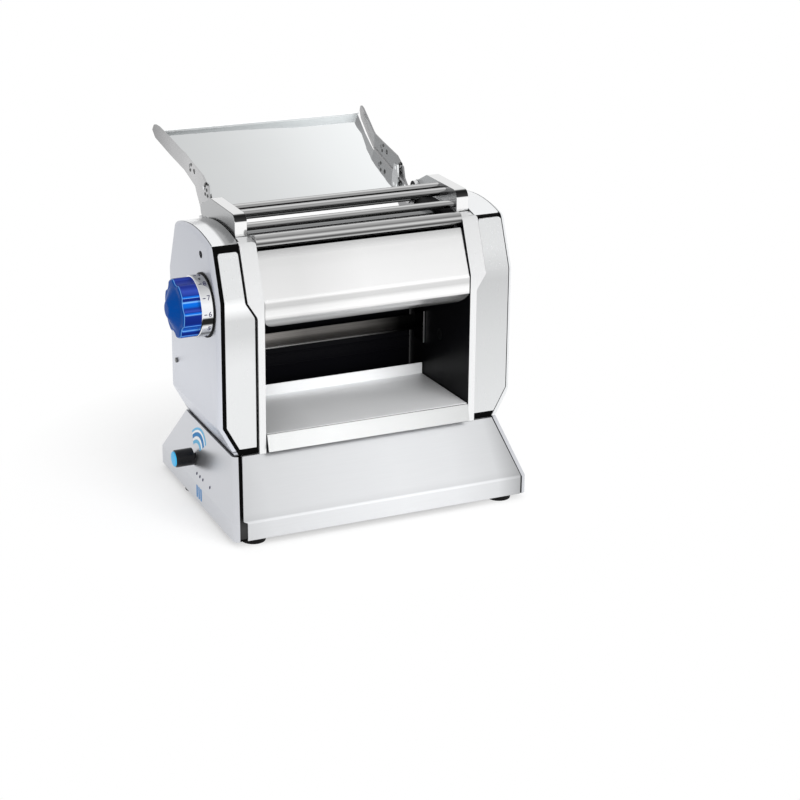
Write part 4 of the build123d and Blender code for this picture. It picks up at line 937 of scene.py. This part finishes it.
def make_world():
    """Plain soft studio light with a white backdrop."""
    world = bpy.data.worlds.new("studio")
    bpy.context.scene.world = world
    world.use_nodes = True
    tree = world.node_tree
    tree.nodes.clear()
    output = tree.nodes.new("ShaderNodeOutputWorld")
    path = tree.nodes.new("ShaderNodeLightPath")
    light = tree.nodes.new("ShaderNodeBackground")
    light.inputs["Color"].default_value = (1.0, 1.0, 1.0, 1.0)
    light.inputs["Strength"].default_value = 0.85
    white = tree.nodes.new("ShaderNodeBackground")
    white.inputs["Color"].default_value = (1.0, 1.0, 1.0, 1.0)
    white.inputs["Strength"].default_value = 1.0
    seen = math_node(tree, "MAXIMUM", path.outputs["Is Camera Ray"], path.outputs["Is Glossy Ray"])
    seen = math_node(tree, "MAXIMUM", seen, path.outputs["Is Transmission Ray"])
    mix = tree.nodes.new("ShaderNodeMixShader")
    tree.links.new(seen, mix.inputs[0])
    tree.links.new(light.outputs[0], mix.inputs[1])
    tree.links.new(white.outputs[0], mix.inputs[2])
    tree.links.new(mix.outputs[0], output.inputs[0])


def make_floor():
    """A white floor that keeps the machine's shadow and fades to plain white around it."""
    mesh = bpy.data.meshes.new("floor")
    corners = [(-FLOOR_REACH, -FLOOR_REACH, 0), (FLOOR_REACH, -FLOOR_REACH, 0),
               (FLOOR_REACH, FLOOR_REACH, 0), (-FLOOR_REACH, FLOOR_REACH, 0)]
    mesh.from_pydata(corners, [], [(0, 1, 2, 3)])
    floor = show("floor", mesh)
    made = bpy.data.materials.new("white floor")
    made.use_nodes = True
    tree = made.node_tree
    shader = tree.nodes["Principled BSDF"]
    shader.inputs["Base Color"].default_value = (0.97, 0.97, 0.97, 1)
    shader.inputs["Roughness"].default_value = 0.9
    shader.inputs["Specular IOR Level"].default_value = 0.0
    plain = tree.nodes.new("ShaderNodeEmission")
    place = tree.nodes.new("ShaderNodeTexCoord")
    reach = tree.nodes.new("ShaderNodeVectorMath")
    reach.operation = "LENGTH"
    tree.links.new(place.outputs["Object"], reach.inputs[0])
    fade = tree.nodes.new("ShaderNodeMapRange")
    fade.inputs["From Min"].default_value = FADE_START
    fade.inputs["From Max"].default_value = FADE_END
    fade.inputs["To Min"].default_value = FADE_LEAST
    tree.links.new(reach.outputs["Value"], fade.inputs["Value"])
    mix = tree.nodes.new("ShaderNodeMixShader")
    tree.links.new(fade.outputs["Result"], mix.inputs[0])
    tree.links.new(shader.outputs[0], mix.inputs[1])
    tree.links.new(plain.outputs[0], mix.inputs[2])
    tree.links.new(mix.outputs[0], tree.nodes["Material Output"].inputs["Surface"])
    mesh.materials.append(made)
    return floor


def area_light(name, place, aim, size, power):
    """A square soft lamp aimed at a point."""
    data = bpy.data.lights.new(name, "AREA")
    data.shape = "RECTANGLE"
    data.size, data.size_y = size
    data.energy = power
    lamp = show(name, data)
    lamp.location = place
    lamp.rotation_euler = (Vector(aim) - Vector(place)).to_track_quat("-Z", "Y").to_euler()
    lamp.visible_glossy = False


def make_camera():
    """The camera, level and without roll."""
    data = bpy.data.cameras.new("camera")
    data.sensor_width = 36.0
    data.lens = LENS
    data.shift_x, data.shift_y = SHIFT
    data.clip_start = 0.05
    data.clip_end = 50.0
    camera = show("camera", data)
    camera.location = CAMERA_PLACE
    camera.rotation_euler = (CAMERA_AIM - CAMERA_PLACE).to_track_quat("-Z", "Y").to_euler()
    bpy.context.scene.camera = camera


make_world()
make_floor()
area_light("front fill", (0.3, -1.6, 0.7), (0, 0, 0.10), (1.2, 0.8), 22.0)
make_camera()

bpy.context.scene.view_settings.view_transform = "Standard"
